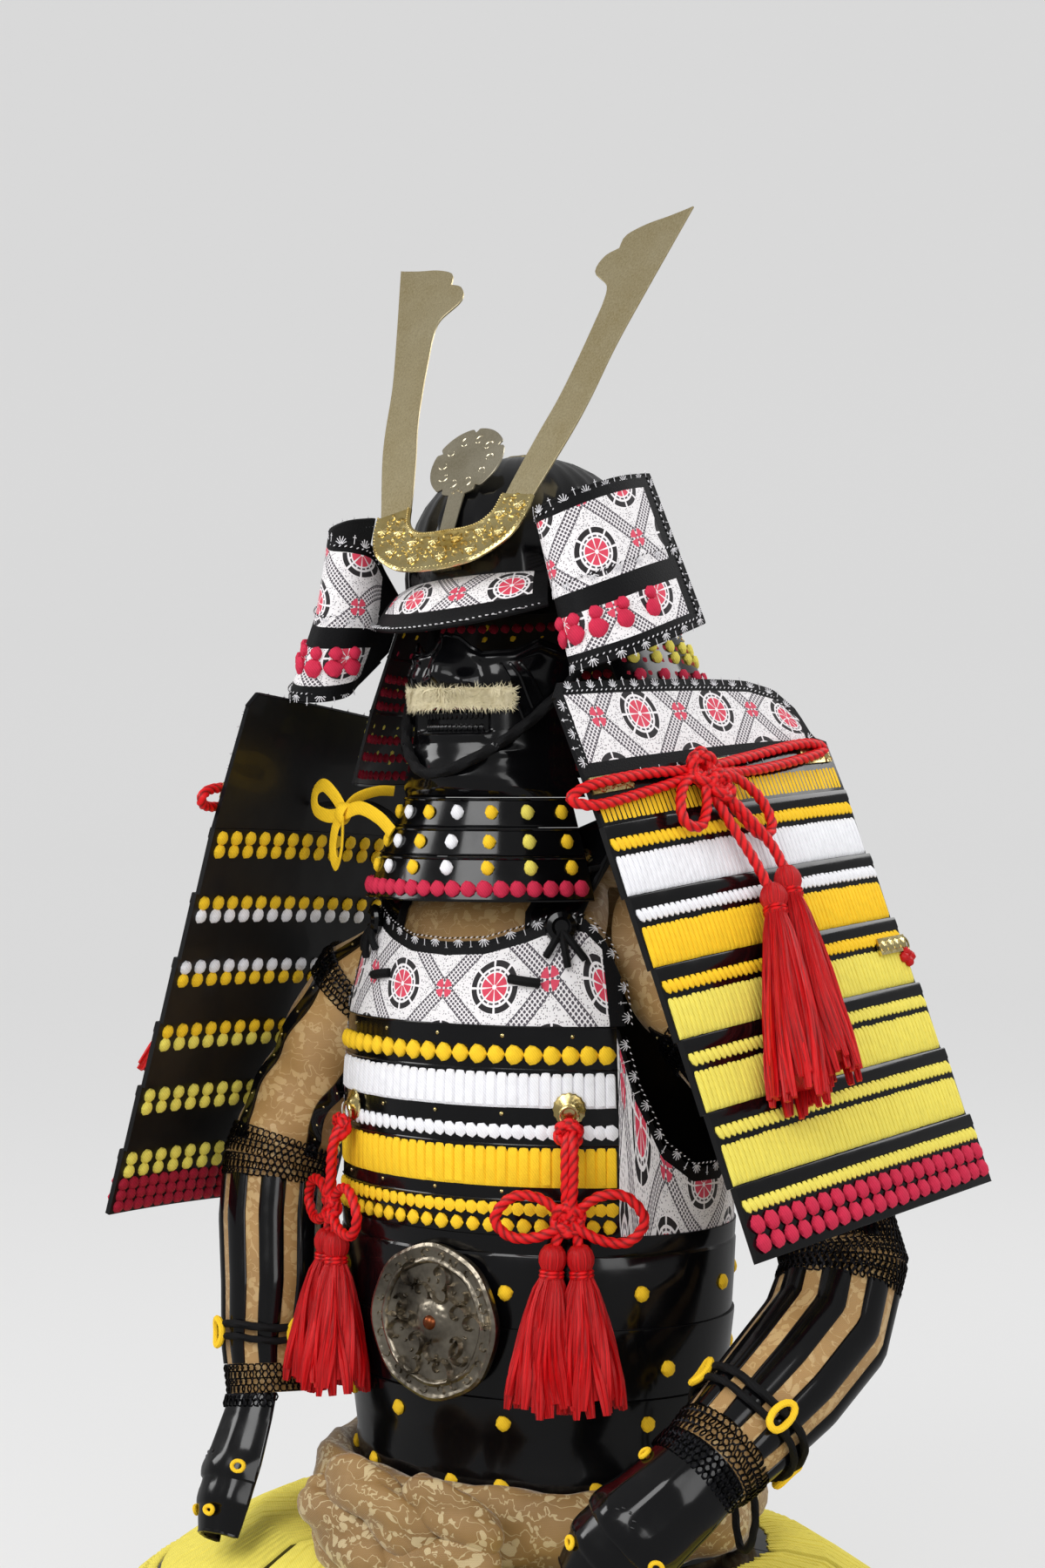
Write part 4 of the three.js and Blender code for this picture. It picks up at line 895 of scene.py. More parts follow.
# Lacing on a surface at(u, v, n): u across in mm or degrees, v down it, n out of it

def frame_at(at, u, v, n, du):
    """The place, the way along u and the way out."""
    here = at(u, v, n)
    along = minus(at(u + du, v, n), at(u - du, v, n))
    out = minus(at(u, v, n + 1), here)
    return here, along, out


def lace_band(draft, at, us, vs, cords, finish, proud=1.5, seed=1, ragged=1.6, sink=0.5, base=0.0,
              fine=False):
    """A closed band of lace cords lying side by side, from vs[0] to vs[1], base above the lame."""
    chance = random.Random(seed)
    stations = []
    for i in range(cords):
        rise = proud * chance.uniform(0.82, 1.12)
        slip = chance.uniform(-0.5, 0.5)
        for t, lift, cut in ((0.0, 0.12, ragged), (0.15, 0.8, 0.4), (0.5, 1.0, 0.0), (0.85, 0.8, 0.4)):
            stations.append((mix(us[0], us[1], (i + t) / cords), rise * lift, cut, slip))
    stations.append((us[1], 0.1, ragged, 0))
    reach = vs[1] - vs[0]
    scale = abs(reach) or 1

    def edge(cut, slip, t):
        lead = (cut + slip) / scale
        return mix(vs[0] + reach * lead, vs[1] - reach * max(0, slip * 0.5) / scale, t)

    # How proud a cord is at each share of its length
    profile = {0: 0.15, 0.09: 0.92, 0.5: 1.0, 0.92: 0.88, 1: 0.1}
    if fine:
        profile = {0: 0.15, 0.05: 0.8, 0.16: 1.0, 0.36: 1.0, 0.57: 1.0, 0.76: 0.95, 0.93: 0.85, 1: 0.1}

    def outer(i, t):
        u, lift, cut, slip = stations[i]
        return at(u, edge(cut, slip, t), base * min(1, profile[t] * 1.5) + lift * profile[t])

    def inner(i, t):
        u, _, cut, slip = stations[i]
        return at(u, edge(cut, slip, t), -sink)

    draft.wall(outer, inner, range(len(stations)), list(profile), finish)


def put(draft, shape, at, u, v, n, size, finish, du, slant=0.0):
    """One copy of a small shape on a surface."""
    draft.repeat(shape, finish, *frame_at(at, u, v, n, du), size, slant)


def row_of(draft, shape, at, us, v, n, count, size, finish, du, slant=0.0):
    """Copies of a shape in a row along u."""
    for i in range(count):
        put(draft, shape, at, mix(us[0], us[1], (i + 0.5) / count), v, n, size, finish, du, slant)


def twist_row(draft, at, us, v, n, count, pitch, tall, finish, du):
    row_of(draft, "twist", at, us, v, n, count, (pitch * 1.18, tall, 4.2), finish, du, 24)


def knot_row(draft, at, us, v, n, count, size, finish, du):
    row_of(draft, "knot", at, us, v, n, count, (size, size * 1.05, size * 0.62), finish, du)


# Size of the printed fan and sprig, then the pitch of the twisted stitch and its distance from the path
FAN = 8.6
SPRIG = 7.0
STITCH = 2.6
STITCH_BY = -5.6


def edging(draft, at, path, n, gap, inset=-4.5, flip=1):
    """The printed border: fans and sprigs along a path of surface places, with a twisted stitch."""
    spots = [at(u, v, n) for u, v in path]
    run = [0.0]
    for p, q in zip(spots, spots[1:]):
        run.append(run[-1] + length(minus(q, p)))

    def spot(share):
        """The place, the way along and the way out at a share of the path."""
        want = run[-1] * share
        k = next((k for k in range(len(run) - 1) if want <= run[k + 1]), len(run) - 2)
        t = (want - run[k]) / ((run[k + 1] - run[k]) or 1)
        u, v = mix(path[k][0], path[k + 1][0], t), mix(path[k][1], path[k + 1][1], t)
        here = at(u, v, n)
        return here, minus(spots[k + 1], spots[k]), minus(at(u, v, n + 1), here)

    count = max(2, round(run[-1] / gap))
    for i in range(count):
        here, along, out = spot((i + 0.5) / count)
        side = unit(cross(out, along))
        way = tuple(c * flip for c in along)
        shape, reach, size = ("sprig", -3.4, SPRIG) if i % 2 else ("fan", inset, FAN)
        draft.repeat(shape, "paste", add(here, side, reach * flip), way, out, (size, size, 1.2))
    count = max(4, round(run[-1] / STITCH))
    for i in range(count):
        here, along, out = spot((i + 0.5) / count)
        side = unit(cross(out, along))
        draft.repeat("twist", "paste" if i % 2 else "black_cord", add(here, side, STITCH_BY * flip), along,
                     out,
                     (2.8, 1.1, 1.1), 35)


# The surfaces of the armour

# Cuirass: height, half width and half depth
BODY = (
    (-560, 160, 126), (-530, 162, 128), (-470, 168, 132), (-400, 176, 138), (-303, 178, 140),
    (-220, 177, 140),
    (-143, 172, 136), (-100, 160, 128), (-60, 148, 118), (0, 136, 112), (20, 132, 108),
)
PLATE = 3.0
CHEST_BOTTOM = -149.0
BODY_BOTTOM = -316.0
# Upper edges: angle from the front, or from the back for the back board, and height
CHEST_TOP = ((0, -86), (14, -84), (27, -74), (38, -63), (46, -66), (52, -82), (56, -112))
ARMHOLE = ((53.1, -149.3), (58, -198), (67, -246), (79, -267), (94, -268), (108, -244), (119, -196),
           (127, -150))
BACK_TOP = ((0, -8), (10, -6), (20, -2), (29, 3), (38, 6), (46, 2), (50, -40), (52.9, -120))
# Width of the leather border along an upper edge
BORDER = 9.0


def body(phi, z, off=0.0):
    return ring(read(BODY, z, 1) + off, read(BODY, z, 2) + off, phi, z)


# Shoulder guards: side, middle of the fitting strip, three angles and how deep the tie starts
GUARDS = {
    "l": {"side": 1, "at": (204, -19, 25), "lean": 22, "roll": 5.5, "turn": -9, "tie": 4.2},
    "r": {"side": -1, "at": (198, -40, 0), "lean": 18, "roll": -3, "turn": 1, "tie": 5.5},
}
SODE_WIDTH = 310.0
# Height of one laced board, and how far a guard's middle stands out
SODE_PITCH = 57.6
SODE_BULGE = 8.0


def on_guard(guard, u, v, n):
    """u runs along the board from front to back, v down it, n out from it."""
    lean, roll, turn = guard["lean"] * RAD, guard["roll"] * RAD, guard["turn"] * RAD
    side = guard["side"]
    down = (side * sin(lean), 0, -cos(lean))
    out = (side * cos(lean), 0, sin(lean))
    v2 = add(tuple(c * cos(roll) for c in down), (0, 1, 0), sin(roll))
    u2 = add((0, cos(roll), 0), down, -sin(roll))
    bulge = SODE_BULGE * (1 - (2 * u / SODE_WIDTH) ** 2)
    p = add(add(tuple(c * u for c in u2), v2, v), out, n + bulge)
    x, y, z = guard["at"]
    return (side * x + p[0] * cos(turn) - p[1] * sin(turn),
            y + p[0] * sin(turn) + p[1] * cos(turn), z + p[2])


# The helmet leans and turns about a point in the neck
HEAD_ROLL, HEAD_TURN, PIVOT = 4.5, 3.0, (0, 0, 140)
HEAD = (
    Matrix.Translation(PIVOT) @ Matrix.Rotation(HEAD_TURN * RAD, 4, "Z")
    @ Matrix.Rotation(-HEAD_ROLL * RAD, 4, "Y") @ Matrix.Translation((0, 0, -PIVOT[2]))
)


def on_head(p):
    return tuple(HEAD @ Vector(p))


def leaned(at):
    """The same surface on the leaning helmet."""
    return lambda *where: on_head(at(*where))


# Throat guard: height and radius, on an axis behind the chin
THROAT = ((33, 88), (9, 98), (-14, 108), (-50, 121))
THROAT_AXIS = -36.0


def throat(phi, z, off=0.0):
    r = read(THROAT, z) + off
    return ring(r, r, phi, z, THROAT_AXIS)


# Neck guard: height, half width and half depth
NECK = ((205, 102.8, 120.8), (160, 123, 133), (115, 143, 146), (55, 165, 160))


def neck(phi, z, off=0.0):
    return ring(read(NECK, z, 1) + off, read(NECK, z, 2) + off, phi, z)


# Helmet

def make_bowl():
    d = Draft()
    dome = ((200, 1.0), (211, 1.0), (222, 1.0), (238, 0.977), (252, 0.94), (268, 0.88), (282, 0.8),
            (294, 0.7),
            (304, 0.58), (312, 0.45), (318, 0.3), (321.5, 0.15), (323, 0.03))
    spokes = 128

    def outer(phi, row):
        ridge = 1.1 * max(0.0, cos(32 * phi * RAD)) ** 6 * min(1, row[1] * 2)
        return on_head(ring(100 * row[1] + ridge - 0.6, 118 * row[1] + ridge - 0.6, phi, row[0]))

    def inner(phi, row):
        k = row[1] * 0.965
        return on_head(ring(100 * k, 118 * k, phi, row[0] if row[0] == 200 else row[0] - 2.5))

    d.wall(outer, inner, steps(0, 360, spokes)[:-1], dome, "lacquer", "lining", wrap=True)
    d.turned(on_head((0, 0, 319.5)), minus(on_head((0, 0, 330)), on_head((0, 0, 320))),
             [(-1, 0), (-1, 20), (1.5, 19), (3.2, 15), (3.4, 9), (2, 7), (2, 0)], 32, "gilt", 8, 0.06)
    at = leaned(lambda phi, z, off: ring(100 + off, 118 + off, phi, z))
    row_of(d, "dome", at, (0, 360), 205, 0, 64, (3.4, 3.4, 2.4), "lacquer", 1)
    d.piece("helmet_bowl_dressed", "helmet_bowl", slot="black_lacquer")


def visor_at(k, v, off=0.0):
    phi = k * 45 - k * 2 * v
    z = mix(212, 171 + 44 * (1 - cos(phi * RAD)), v) + 5 * sin(pi * clamp(v))
    return on_head(ring(mix(100.4, 125, v), mix(118.4, 150, v), phi, z + off))


def make_visor():
    d = Draft()
    across = [-1, -0.93] + steps(-0.87, 0.87, 32) + [0.93, 1]
    down = [0, 0.1, 0.2, 0.35, 0.5, 0.65, 0.76, 0.88, 1]

    def skin(i, j):
        return "edging" if i < 2 or i > len(across) - 4 or j > 5 else "stencil"

    d.shell(visor_at, 0, -3.4, across, down, skin, "lining", "edging", origin=(-104, -22))
    edging(d, visor_at, [(k, 0.99) for k in steps(-0.93, 0.93, 40)], 0.2, 11)
    d.tube([visor_at(k, 1.0, -1.7) for k in steps(-1, 1, 48)], 1.9, 6, "edging")
    d.piece("visor_dressed", "visor", slot="stencilled_leather")


# Turnbacks from root to tip: x, y, lowest and highest z, and how far the lower edge splays
TURNBACK = (
    (96, -88, 140, 228, 18), (94, -108, 128, 248, 20), (103, -129, 124, 254, 26), (125, -133, 127, 258, 34),
    (145, -110, 135, 269, 38), (157, -70, 148, 280, 40), (161, -28, 160, 286, 42),
)


def turnback_point(side, s, v):
    """s runs from the root to the wing's tip in table rows, v from its lower edge up."""
    if s <= 0.001:
        z = mix(164, 203, v)
        p = neck(side * 60, z)
        return (p[0] - side * 0.2, p[1] - 0.45, z)

    def of_row(row):
        splay = 16 * max(0, 1 - 2 * v) if side < 0 else 0
        return (side * (row[0] + row[4] * (0.5 - v) + splay), row[1], mix(row[2], row[3], v))

    rows = [turnback_point(side, 0, v)] + [of_row(row) for row in TURNBACK]
    i = min(len(rows) - 2, int(s))
    a, b = rows[max(0, i - 1)], rows[i]
    c, e = rows[i + 1], rows[min(len(rows) - 1, i + 2)]
    t = s - i
    if i == 0:
        return between(b, c, t)
    return curve_point(a, b, c, e, t)


def turnback_at(side, s, v, n):
    """A place off the turnback's printed face."""
    e = 0.05
    before = turnback_point(side, max(0.3, s) - e, v)
    after = turnback_point(side, min(6.99, max(0.3, s) + e), v)
    along = unit((after[0] - before[0], after[1] - before[1], 0))
    out = (along[1] * side, -along[0] * side, 0)
    return on_head(add(turnback_point(side, s, v), out, n))


def make_turnbacks():
    for name, side in (("l", 1), ("r", -1)):
        d = Draft()
        stations = [0, 0.5, 1, 1.2] + steps(1.4, 6.55, 26) + [6.75, 7]
        heights = [0, 0.05, 0.09, 0.16, 0.24, 0.32, 0.36, 0.41, 0.45, 0.55, 0.65, 0.75, 0.84, 0.92, 0.96, 1]

        def skin(i, j):
            field = 3 <= i < len(stations) - 3 and (2 <= j < 5 or 8 <= j < 13)
            return "stencil" if field else "edging"

        def at(s, v, n):
            return turnback_at(side, s, v, n)

        d.shell(at, 0, -2.2, stations, heights, skin, "edging", "edging", origin=(20 if side > 0 else 36, 8))
        run = steps(1.35, 6.95, 36)
        edging(d, at, [(s, 0.998) for s in run], 0.2, 11, flip=side)
        edging(d, at, [(s, 0.475) for s in run[::-1]], 0.2, 12, flip=side)
        edging(d, at, [(s, 0.004) for s in run[::-1]], 0.2, 12, flip=side)
        edging(d, at, [(6.98, v) for v in steps(0.98, 0.02, 24)], 0.2, 12, flip=side)
        spots = 6
        for v, size, shift in ((0.29, 12, 0.0), (0.2, 17, -0.05)):
            for i in range(spots):
                s = mix(1.9, 6.1, (i + 0.5) / spots) + shift
                put(d, "knot", at, s, v, 0.6, (size, size, 8), "pink", 0.05)
        edge = [at(s, 1, -1.1) for s in steps(0.3, 7, 40)]
        edge += [at(7, v, -1.1) for v in steps(0.97, 0.03, 14)]
        edge += [at(s, 0, -1.1) for s in steps(7, 0.3, 40)]
        d.tube(edge, 1.5, 6, "edging")
        d.piece("turnback_dressed_" + name, "turnback_" + name, slot="stencilled_leather")


def make_neck_guard():
    for i, (top, low) in enumerate(zip(NECK, NECK[1:])):
        d = Draft()
        z0, z1 = top[0] - (0.3 if i else 0), low[0]
        stations = steps(60, 300, 96)
        at = leaned(lambda phi, z, n: neck(phi, z, n))
        d.shell(at, 0, -2.5, stations, [z0, mix(z0, z1, 0.08), mix(z0, z1, 0.5), z1], "lacquer", "lining")
        girth = (read(NECK, z0, 1) + read(NECK, z1, 1)) / 2 * 240 * RAD
        silk = ("amber", "lemon", "lemon")[i]
        pairs = round(girth / 27)
        for k in range(pairs):
            for row in (0.28, 0.5, 0.84) if i < 2 else (0.14, 0.27, 0.5, 0.62, 0.85):
                put(d, "knot", at, mix(64, 296, (k + 0.5) / pairs), mix(z0, z1, row), 1.0, (12.5, 11.5, 7),
                    silk if row < 0.8 else "pink", 1, 10)
        row_of(d, "dome", at, (62, 298), mix(z0, z1, 0.06), 0, round(girth / 16), (2.4, 2.4, 1.8), "gilt", 1)
        inside = leaned(lambda phi, z, n: neck(phi, z, -2.5 - n))
        for row in range(3 if i else 1):
            row_of(d, "knot", inside, (63, 297), mix(z0, z1, 0.35 + 0.25 * row), 0, round(girth / 11),
                   (9.5, 9.5, 5), "crimson", 1)
        d.tube([at(phi, z1 + 0.4, -1.25) for phi in stations], 1.9, 6, "lacquer")
        d.piece("neck_guard_dressed_%d" % (i + 1), "neck_guard_%d" % (i + 1), slot="black_lacquer")


# The foot of the crest and its lean from upright
CREST_Y, CREST_Z, CREST_LEAN = -132.0, 232.0, 33.0


def on_crest(p):
    """x across, y up the leaning crest, depth out of its face."""
    x, y, depth = p
    s, c = sin(CREST_LEAN * RAD), cos(CREST_LEAN * RAD)
    return on_head((x, CREST_Y + y * s - depth * c, CREST_Z + y * c + depth * s))


def flipped(points):
    return [(-x, y) for x, y in reversed(points)]


def flat_curve(points, count):
    return [(p[0], p[1]) for p in smooth([(x, y, 0) for x, y in points], count)]


def turned_left(outline):
    """The outline in the order that keeps its inside on the left."""
    area = sum(a[0] * b[1] - b[0] * a[1] for a, b in zip(outline, outline[1:] + outline[:1]))
    return outline if area > 0 else outline[::-1]


def make_crest():
    outer = flat_curve([(78, 45), (76, 26), (66, 5), (42, -12), (20, -17), (0, -18)], 22)
    inner = flat_curve([(0, 23), (18, 23), (31, 26), (41, 36), (45, 52)], 18)
    left = outer[:-1] + flipped(outer)
    hole = flipped(inner)[:-1] + inner
    d = Draft()
    rim = flat_curve(left, 56)
    cut = flat_curve(flipped(hole), 56)
    cut = cut if cut[0][0] > 0 else cut[::-1]

    def at(i, t, depth):
        a, b = rim[int(i)], cut[int(i)]
        return on_crest((mix(a[0], b[0], t), mix(a[1], b[1], t), depth))

    swell = {0: 1.6, 0.06: 3.0, 0.14: 2.2, 0.5: 2.4, 0.86: 2.2, 0.94: 3.0, 1: 1.6}
    d.wall(lambda i, t: at(i, t, swell[t]), lambda i, t: at(i, t, 0), range(57), list(swell), "gilt")
    out = minus(on_crest((0, 0, 1)), on_crest((0, 0, 0)))
    along = minus(on_crest((1, 0, 0)), on_crest((0, 0, 0)))
    for i in range(3, 55, 4):
        for t, shape, size in ((0.3, "rosette", (11.5, 11.5, 5.5)), (0.72, "scroll", (13, 13, 12))):
            d.repeat(shape, "gilt", at(i, t if i % 8 == 3 else 1 - t, 2.2), along, out, size)
    for i in range(1, 57):
        for t in (0.06, 0.94):
            d.repeat("dome", "gilt", at(i, t, 2.8), along, out, (2.2, 2.2, 1.8))
        if i % 2:
            d.repeat("scroll", "gilt", at(i, 0.5, 2.3), along, out, (8, 8, 9), 40 * (i % 7))

    def lift(y, z):
        s, c = sin(CREST_LEAN * RAD), cos(CREST_LEAN * RAD)
        dy, dz = y - CREST_Y, z - CREST_Z
        return (dy * s + dz * c, -dy * c + dz * s)

    profile = [(-17.4, 1), (-6.6, 1), lift(-118.4, 227), lift(-118.4, 218)]
    d.plate(turned_left(profile), -10, 10, lambda p: on_crest((p[2], p[0], p[1])), "gilt")
    d.piece("crest_holder_dressed", "horn_holder", slot="gilt_brass")
    horn = (
        flat_curve([(66, 10), (76, 45), (95, 103), (104, 138), (114, 190), (130, 250), (152, 328)], 60)[:-1]
        + flat_curve([(152, 328), (130, 323), (108, 319), (90, 311), (87, 298)], 16)[:-1]
        + flat_curve([(87, 298), (74, 292), (69, 276), (86, 257), (87, 235)], 18)[:-1]
        + flat_curve([(87, 235), (79, 183), (71, 142), (60, 103), (47, 50), (43, 18)], 50)
    )
    horn = [(x, y * 1.05) for x, y in horn]
    for name, outline in (("l", horn), ("r", flipped(horn))):
        d = Draft()
        d.plate(turned_left(outline), -2.1, -0.3, on_crest, "brass", 0.5)
        d.piece("horn_dressed_" + name, "horn_" + name, slot="brass", sharp=25)
    disc = []
    for i in range(145):
        turn = mix(-77, 257, i / 144)
        dip = min(abs(turn - mix(-77, 257, k / 36)) for k in (2, 11, 18, 25, 34))
        r = 35.5 - 4.5 * exp(-((dip / 3.2) ** 2))
        disc.append((r * cos(turn * RAD) - 4, 96 + r * sin(turn * RAD)))
    d = Draft()
    d.plate(turned_left([*disc, (-8, 6), (6, 6)]), -2.1, -0.3, on_crest, "silver", 0.5)
    for x, y in ((-4, 66), (-8, 64), (0, 64)):
        d.turned(on_crest((x, y, -0.4)), out, [(0, 0), (0, 1.6), (1, 1.2), (1.2, 0)], 10, "silver")
    for i in range(10):
        a = TURN * i / 10
        d.repeat("scroll", "silver", on_crest((-4 + 22 * cos(a), 96 + 22 * sin(a), -0.4)),
                 along, out, (11, 11, 4), 36 * i)
    d.piece("crest_disc_dressed", "crest_disc", slot="silvered_brass")


# Face mask

# Mask: height, half width and half depth; then the angle and height of its upper edge
MASK = ((33.3, 88, 88), (40, 86, 96), (50, 81, 100), (66, 77, 95), (84, 75, 91), (87, 75, 90), (103, 75, 90),
        (107, 75, 91), (122, 75, 89), (131, 75, 88), (139, 75, 86), (152, 75, 84), (168, 75, 82))
EYE_LINE = ((0, 166), (7, 163), (14, 155), (22, 150), (42, 152), (56, 161), (80, 150))


def mask_at(phi, z, off=0.0):
    side = abs(phi)
    if z > 131:
        z = mix(131, read(EYE_LINE, side), (z - 131) / 37)
    nose = 20 * hump(phi, 9) * hump(z - 135, 13) + 7 * hump(phi, 7) * clamp((z - 137) / 10)
    wings = 7 * hump(side - 13, 5) * hump(z - 127, 7)
    cheek = 6 * hump(side - 38, 15) * hump(z - 134, 14)
    fold = -2.5 * hump(side - 24 - (131 - z) * 0.3, 4) * clamp((z - 100) / 20)
    mouth = -7 * clamp((29 - side) / 2.5 + 0.5) * clamp((z - 85.5) / 2) * clamp((104.5 - z) / 2)
    lip = 2.4 * hump(z - 83, 2.6) * clamp((30 - side) / 4)
    chin = 5 * hump(phi, 16) * hump(z - 50, 10)
    jaw = 2.2 * hump(z - 70, 5) * hump(side - 34, 16)
    brow = 3.0 * hump(z - read(EYE_LINE, side) + 4, 4) * clamp((side - 12) / 8)
    proud = nose + wings + cheek + fold + mouth + lip + chin + jaw + brow + off
    return ring(read(MASK, z, 1) + proud, read(MASK, z, 2) + proud, phi, z, THROAT_AXIS)


def make_mask():
    d = Draft()
    rows = steps(33.3, 84, 22) + [85, 86, 87, 88, 90, 95, 100, 102, 103, 104, 105] + steps(107, 168, 34)
    d.shell(mask_at, 0, -2.5, steps(-80, 80, 76), rows, "lacquer", "red_lacquer")
    d.tube([mask_at(phi, 167.6, -1.2) for phi in steps(-78, 78, 70)], 2.1, 8, "lacquer")
    for z, size in ((100.5, (5.4, 8.4, 4)), (89.5, (5.2, 7.4, 4))):
        row_of(d, "dome", mask_at, (-25, 25), z, 0.8, 13, size, "lacquer", 0.5)
    d.tube([mask_at(phi, 105.6, 0.4) for phi in steps(-28, 28, 40)], 1.5, 6, "red_lacquer")
    for side in (1, -1):
        for k in range(3):
            curve = [mask_at(side * mix(34 + 5 * k, 50 + 6 * k, t), mix(150, 92 + 8 * k, t),
                             0.2 - 1.2 * (t in (0, 1))) for t in steps(0, 1, 22)]
            d.tube(curve, 1.5, 6, "lacquer")
        d.turned(mask_at(side * 33, 74, -1), minus(mask_at(side * 33, 74, 4), mask_at(side * 33, 74, 0)),
                 [(0, 0), (0, 3.4), (6, 2.8), (8, 4.2), (10, 3.6), (11, 0)], 14, "lacquer")
    d.piece("mask_dressed", "mask", slot="black_lacquer")

    d = Draft()
    d.shell(mask_at, 3.2, 0.6, steps(-41, 41, 40), [108, 110, 115, 120, 121.5], "fur")
    chance = random.Random(11)
    for i in range(2600):
        phi, z = chance.uniform(-42, 42), chance.uniform(106.5, 122)
        here = mask_at(phi, z, 2.4)
        out = minus(mask_at(phi, z, 4.4), here)
        droop = (chance.uniform(-0.7, 0.7) + 0.55 * copysign(1, phi), 0, chance.uniform(-1.0, 0.55))
        tangent = minus(mask_at(phi + 0.5, z, 0), mask_at(phi, z, 0))
        way = add(tuple(c * droop[0] for c in unit(tangent)), (0, 0, droop[2]))
        way = add(way, unit(out), 0.25)
        d.repeat("hair", "fur", here, way, out, (chance.uniform(2.2, 3.4), 0.85, 3.0))
    d.piece("moustache_dressed", "moustache", slot="cream_fur", sharp=80)

    d = Draft()
    jaw = []
    for phi in steps(-76, 76, 30):
        z = 52 + 78 * (abs(phi) / 76) ** 1.5
        swell = 5 * hump(phi, 16) * hump(z - 50, 10) + 5 * hump(abs(phi) - 40, 16) * hump(z - 132, 16)
        off = 6.4 + swell
        jaw.append(ring(read(MASK, z, 1) + off, read(MASK, z, 2) + off, phi, z, THROAT_AXIS))
    ends = [[on_head((s * 89.9, -14, 214)), on_head((s * 89.4, -14, 190))] for s in (-1, 1)]
    path = smooth([*ends[0], *jaw[::2], *ends[1][::-1]], 220)
    d.tube(path, lambda i, a: 4.6 + 0.45 * cos(3 * a + i * 0.55), 12, "black_cord")
    made = d.piece("chin_cord_dressed", "chin_cord", slot="black_cord")
    declare_cord(made, path, "object")


def make_throat():
    for i in range(3):
        d = Draft()
        top = THROAT[i][0] - (0.3 if i else 0)
        low = THROAT[i + 1][0]
        d.shell(throat, 0, -2.5, steps(-70, 70, 70), [top, mix(top, low, 0.5), low], "lacquer", "lining")
        d.tube([throat(phi, top - 1.2, 0.6) for phi in steps(-69.5, 69.5, 70)], 1.3, 6, "lacquer")
        d.tube([throat(phi, low + 1.0, 0.2) for phi in steps(-69.5, 69.5, 70)], 1.2, 6, "lacquer")
        silks = ("lemon", "amber", "pearl", "amber", "pearl", "amber", "lemon", "amber")
        for k, silk in enumerate(silks):
            phi = mix(-62, 62, k / (len(silks) - 1))
            z = mix(top, low, 0.5) if i < 2 else top - 9
            put(d, "knot", throat, phi, z, 1.2, (11, 13, 7.5), silk, 0.5, 6)
        if i == 2:
            knot_row(d, throat, (-68, 68), low + 10, 1.0, 21, 14.2, "pink", 0.5)
        d.piece("throat_lame_dressed_%d" % (i + 1), "throat_lame_%d" % (i + 1), slot="black_lacquer")


# Cuirass

def chest_at(phi, v, off=0.0):
    """v is 0 at the bottom, 1 where the border starts, 2 at the edge."""
    top = read(CHEST_TOP, abs(phi))
    z = mix(CHEST_BOTTOM, top - BORDER, v) if v <= 1 else mix(top - BORDER, top, v - 1)
    return body(phi, z, off)


def make_chest():
    d = Draft()
    across = [-56, -54.6, -53] + steps(-51, 51, 60) + [53, 54.6, 56]
    down = [0, 0.25, 0.5, 0.75, 1, 1.3, 2]

    def skin(i, j):
        return "edging" if i < 3 or i > len(across) - 5 or j > 3 else "stencil"

    d.shell(chest_at, 0, -PLATE, across, down, skin, "lining", "edging", origin=(-174, -28))
    edging(d, chest_at, [(p, 1.9) for p in steps(-54, 54, 80)], 0.2, 12, flip=-1)
    for side in (1, -1):
        run = [(side * 55.9, v) for v in steps(0.02, 1.8, 24)]
        edging(d, chest_at, run[::-side], 0.2, 12, flip=-1)
    d.tube([chest_at(p, 2, -1.5) for p in steps(-56, 56, 90)], 1.9, 6, "edging")
    # Toggles and lace ends that fasten the straps
    for side in (1, -1):
        for across_by, drop in ((7, 24), (1.5, 30), (-5, 22)):
            d.tube([body(side * (38 + across_by * t), -72 - drop * t, 2.5 + 4 * sin(pi * t))
                    for t in steps(0, 1, 8)], 3.1, 8, "black_cord")
        d.tube([body(side * p, -112 - 0.35 * (p - 22), 1.6 + 2 * sin(pi * (p - 22) / 9))
                for p in steps(22, 31, 10)], 3.9, 8, "black_cord")
        knot = body(side * 38, -70, 4)
        out = minus(body(side * 38, -70, 5), body(side * 38, -70, 0))
        d.turned(knot, out, [(-3, 0), (-3, 11), (1, 13.5), (4, 12), (6, 8), (3.5, 5.5), (3.5, 0)], 24,
                 "lacquer")
    d.piece("chest_board_dressed", "chest_board", slot="stencilled_leather")

    d = Draft()
    d.shell(body, 0, -PLATE, steps(-53, 53, 72), [-149.3, -182, -184, -243, -245, -302, BODY_BOTTOM],
            "lacquer", "lining")
    span = (-52.4, 52.4)
    for z in (-149.8, -183.6, -243.6, -287.6):
        d.tube([body(p, z, 0.5) for p in steps(-53, 53, 80)], 0.9, 6, "lacquer")
    knot_row(d, body, span, -172, 1.2, 20, 15.5, "amber", 0.5)
    lace_band(d, body, span, (-186, -214), 34, "pearl", 2.8, 3, 3.4)
    twist_row(d, body, span, -233, 1.0, 32, 10.2, 14, "pearl", 0.5)
    lace_band(d, body, span, (-245.5, -277), 34, "amber", 2.4, 4, 3.4)
    twist_row(d, body, span, -294.5, 1.0, 32, 10.2, 12.5, "amber", 0.5)
    knot_row(d, body, span, -308, 1.2, 22, 12, "amber", 0.5)
    for z in (-157, -219, -281):
        row_of(d, "dome", body, (-50, 50), z, 0, 5, (3.4, 3.4, 2.6), "gilt", 0.5)
    d.piece("chest_lames_dressed", "chest_lames", slot="silk_lacing")


def side_at(side, phi, v, off):
    top = read(ARMHOLE, phi)
    z = mix(BODY_BOTTOM, top - BORDER, v) if v <= 1 else mix(top - BORDER, top, v - 1)
    return body(side * phi, z, off)


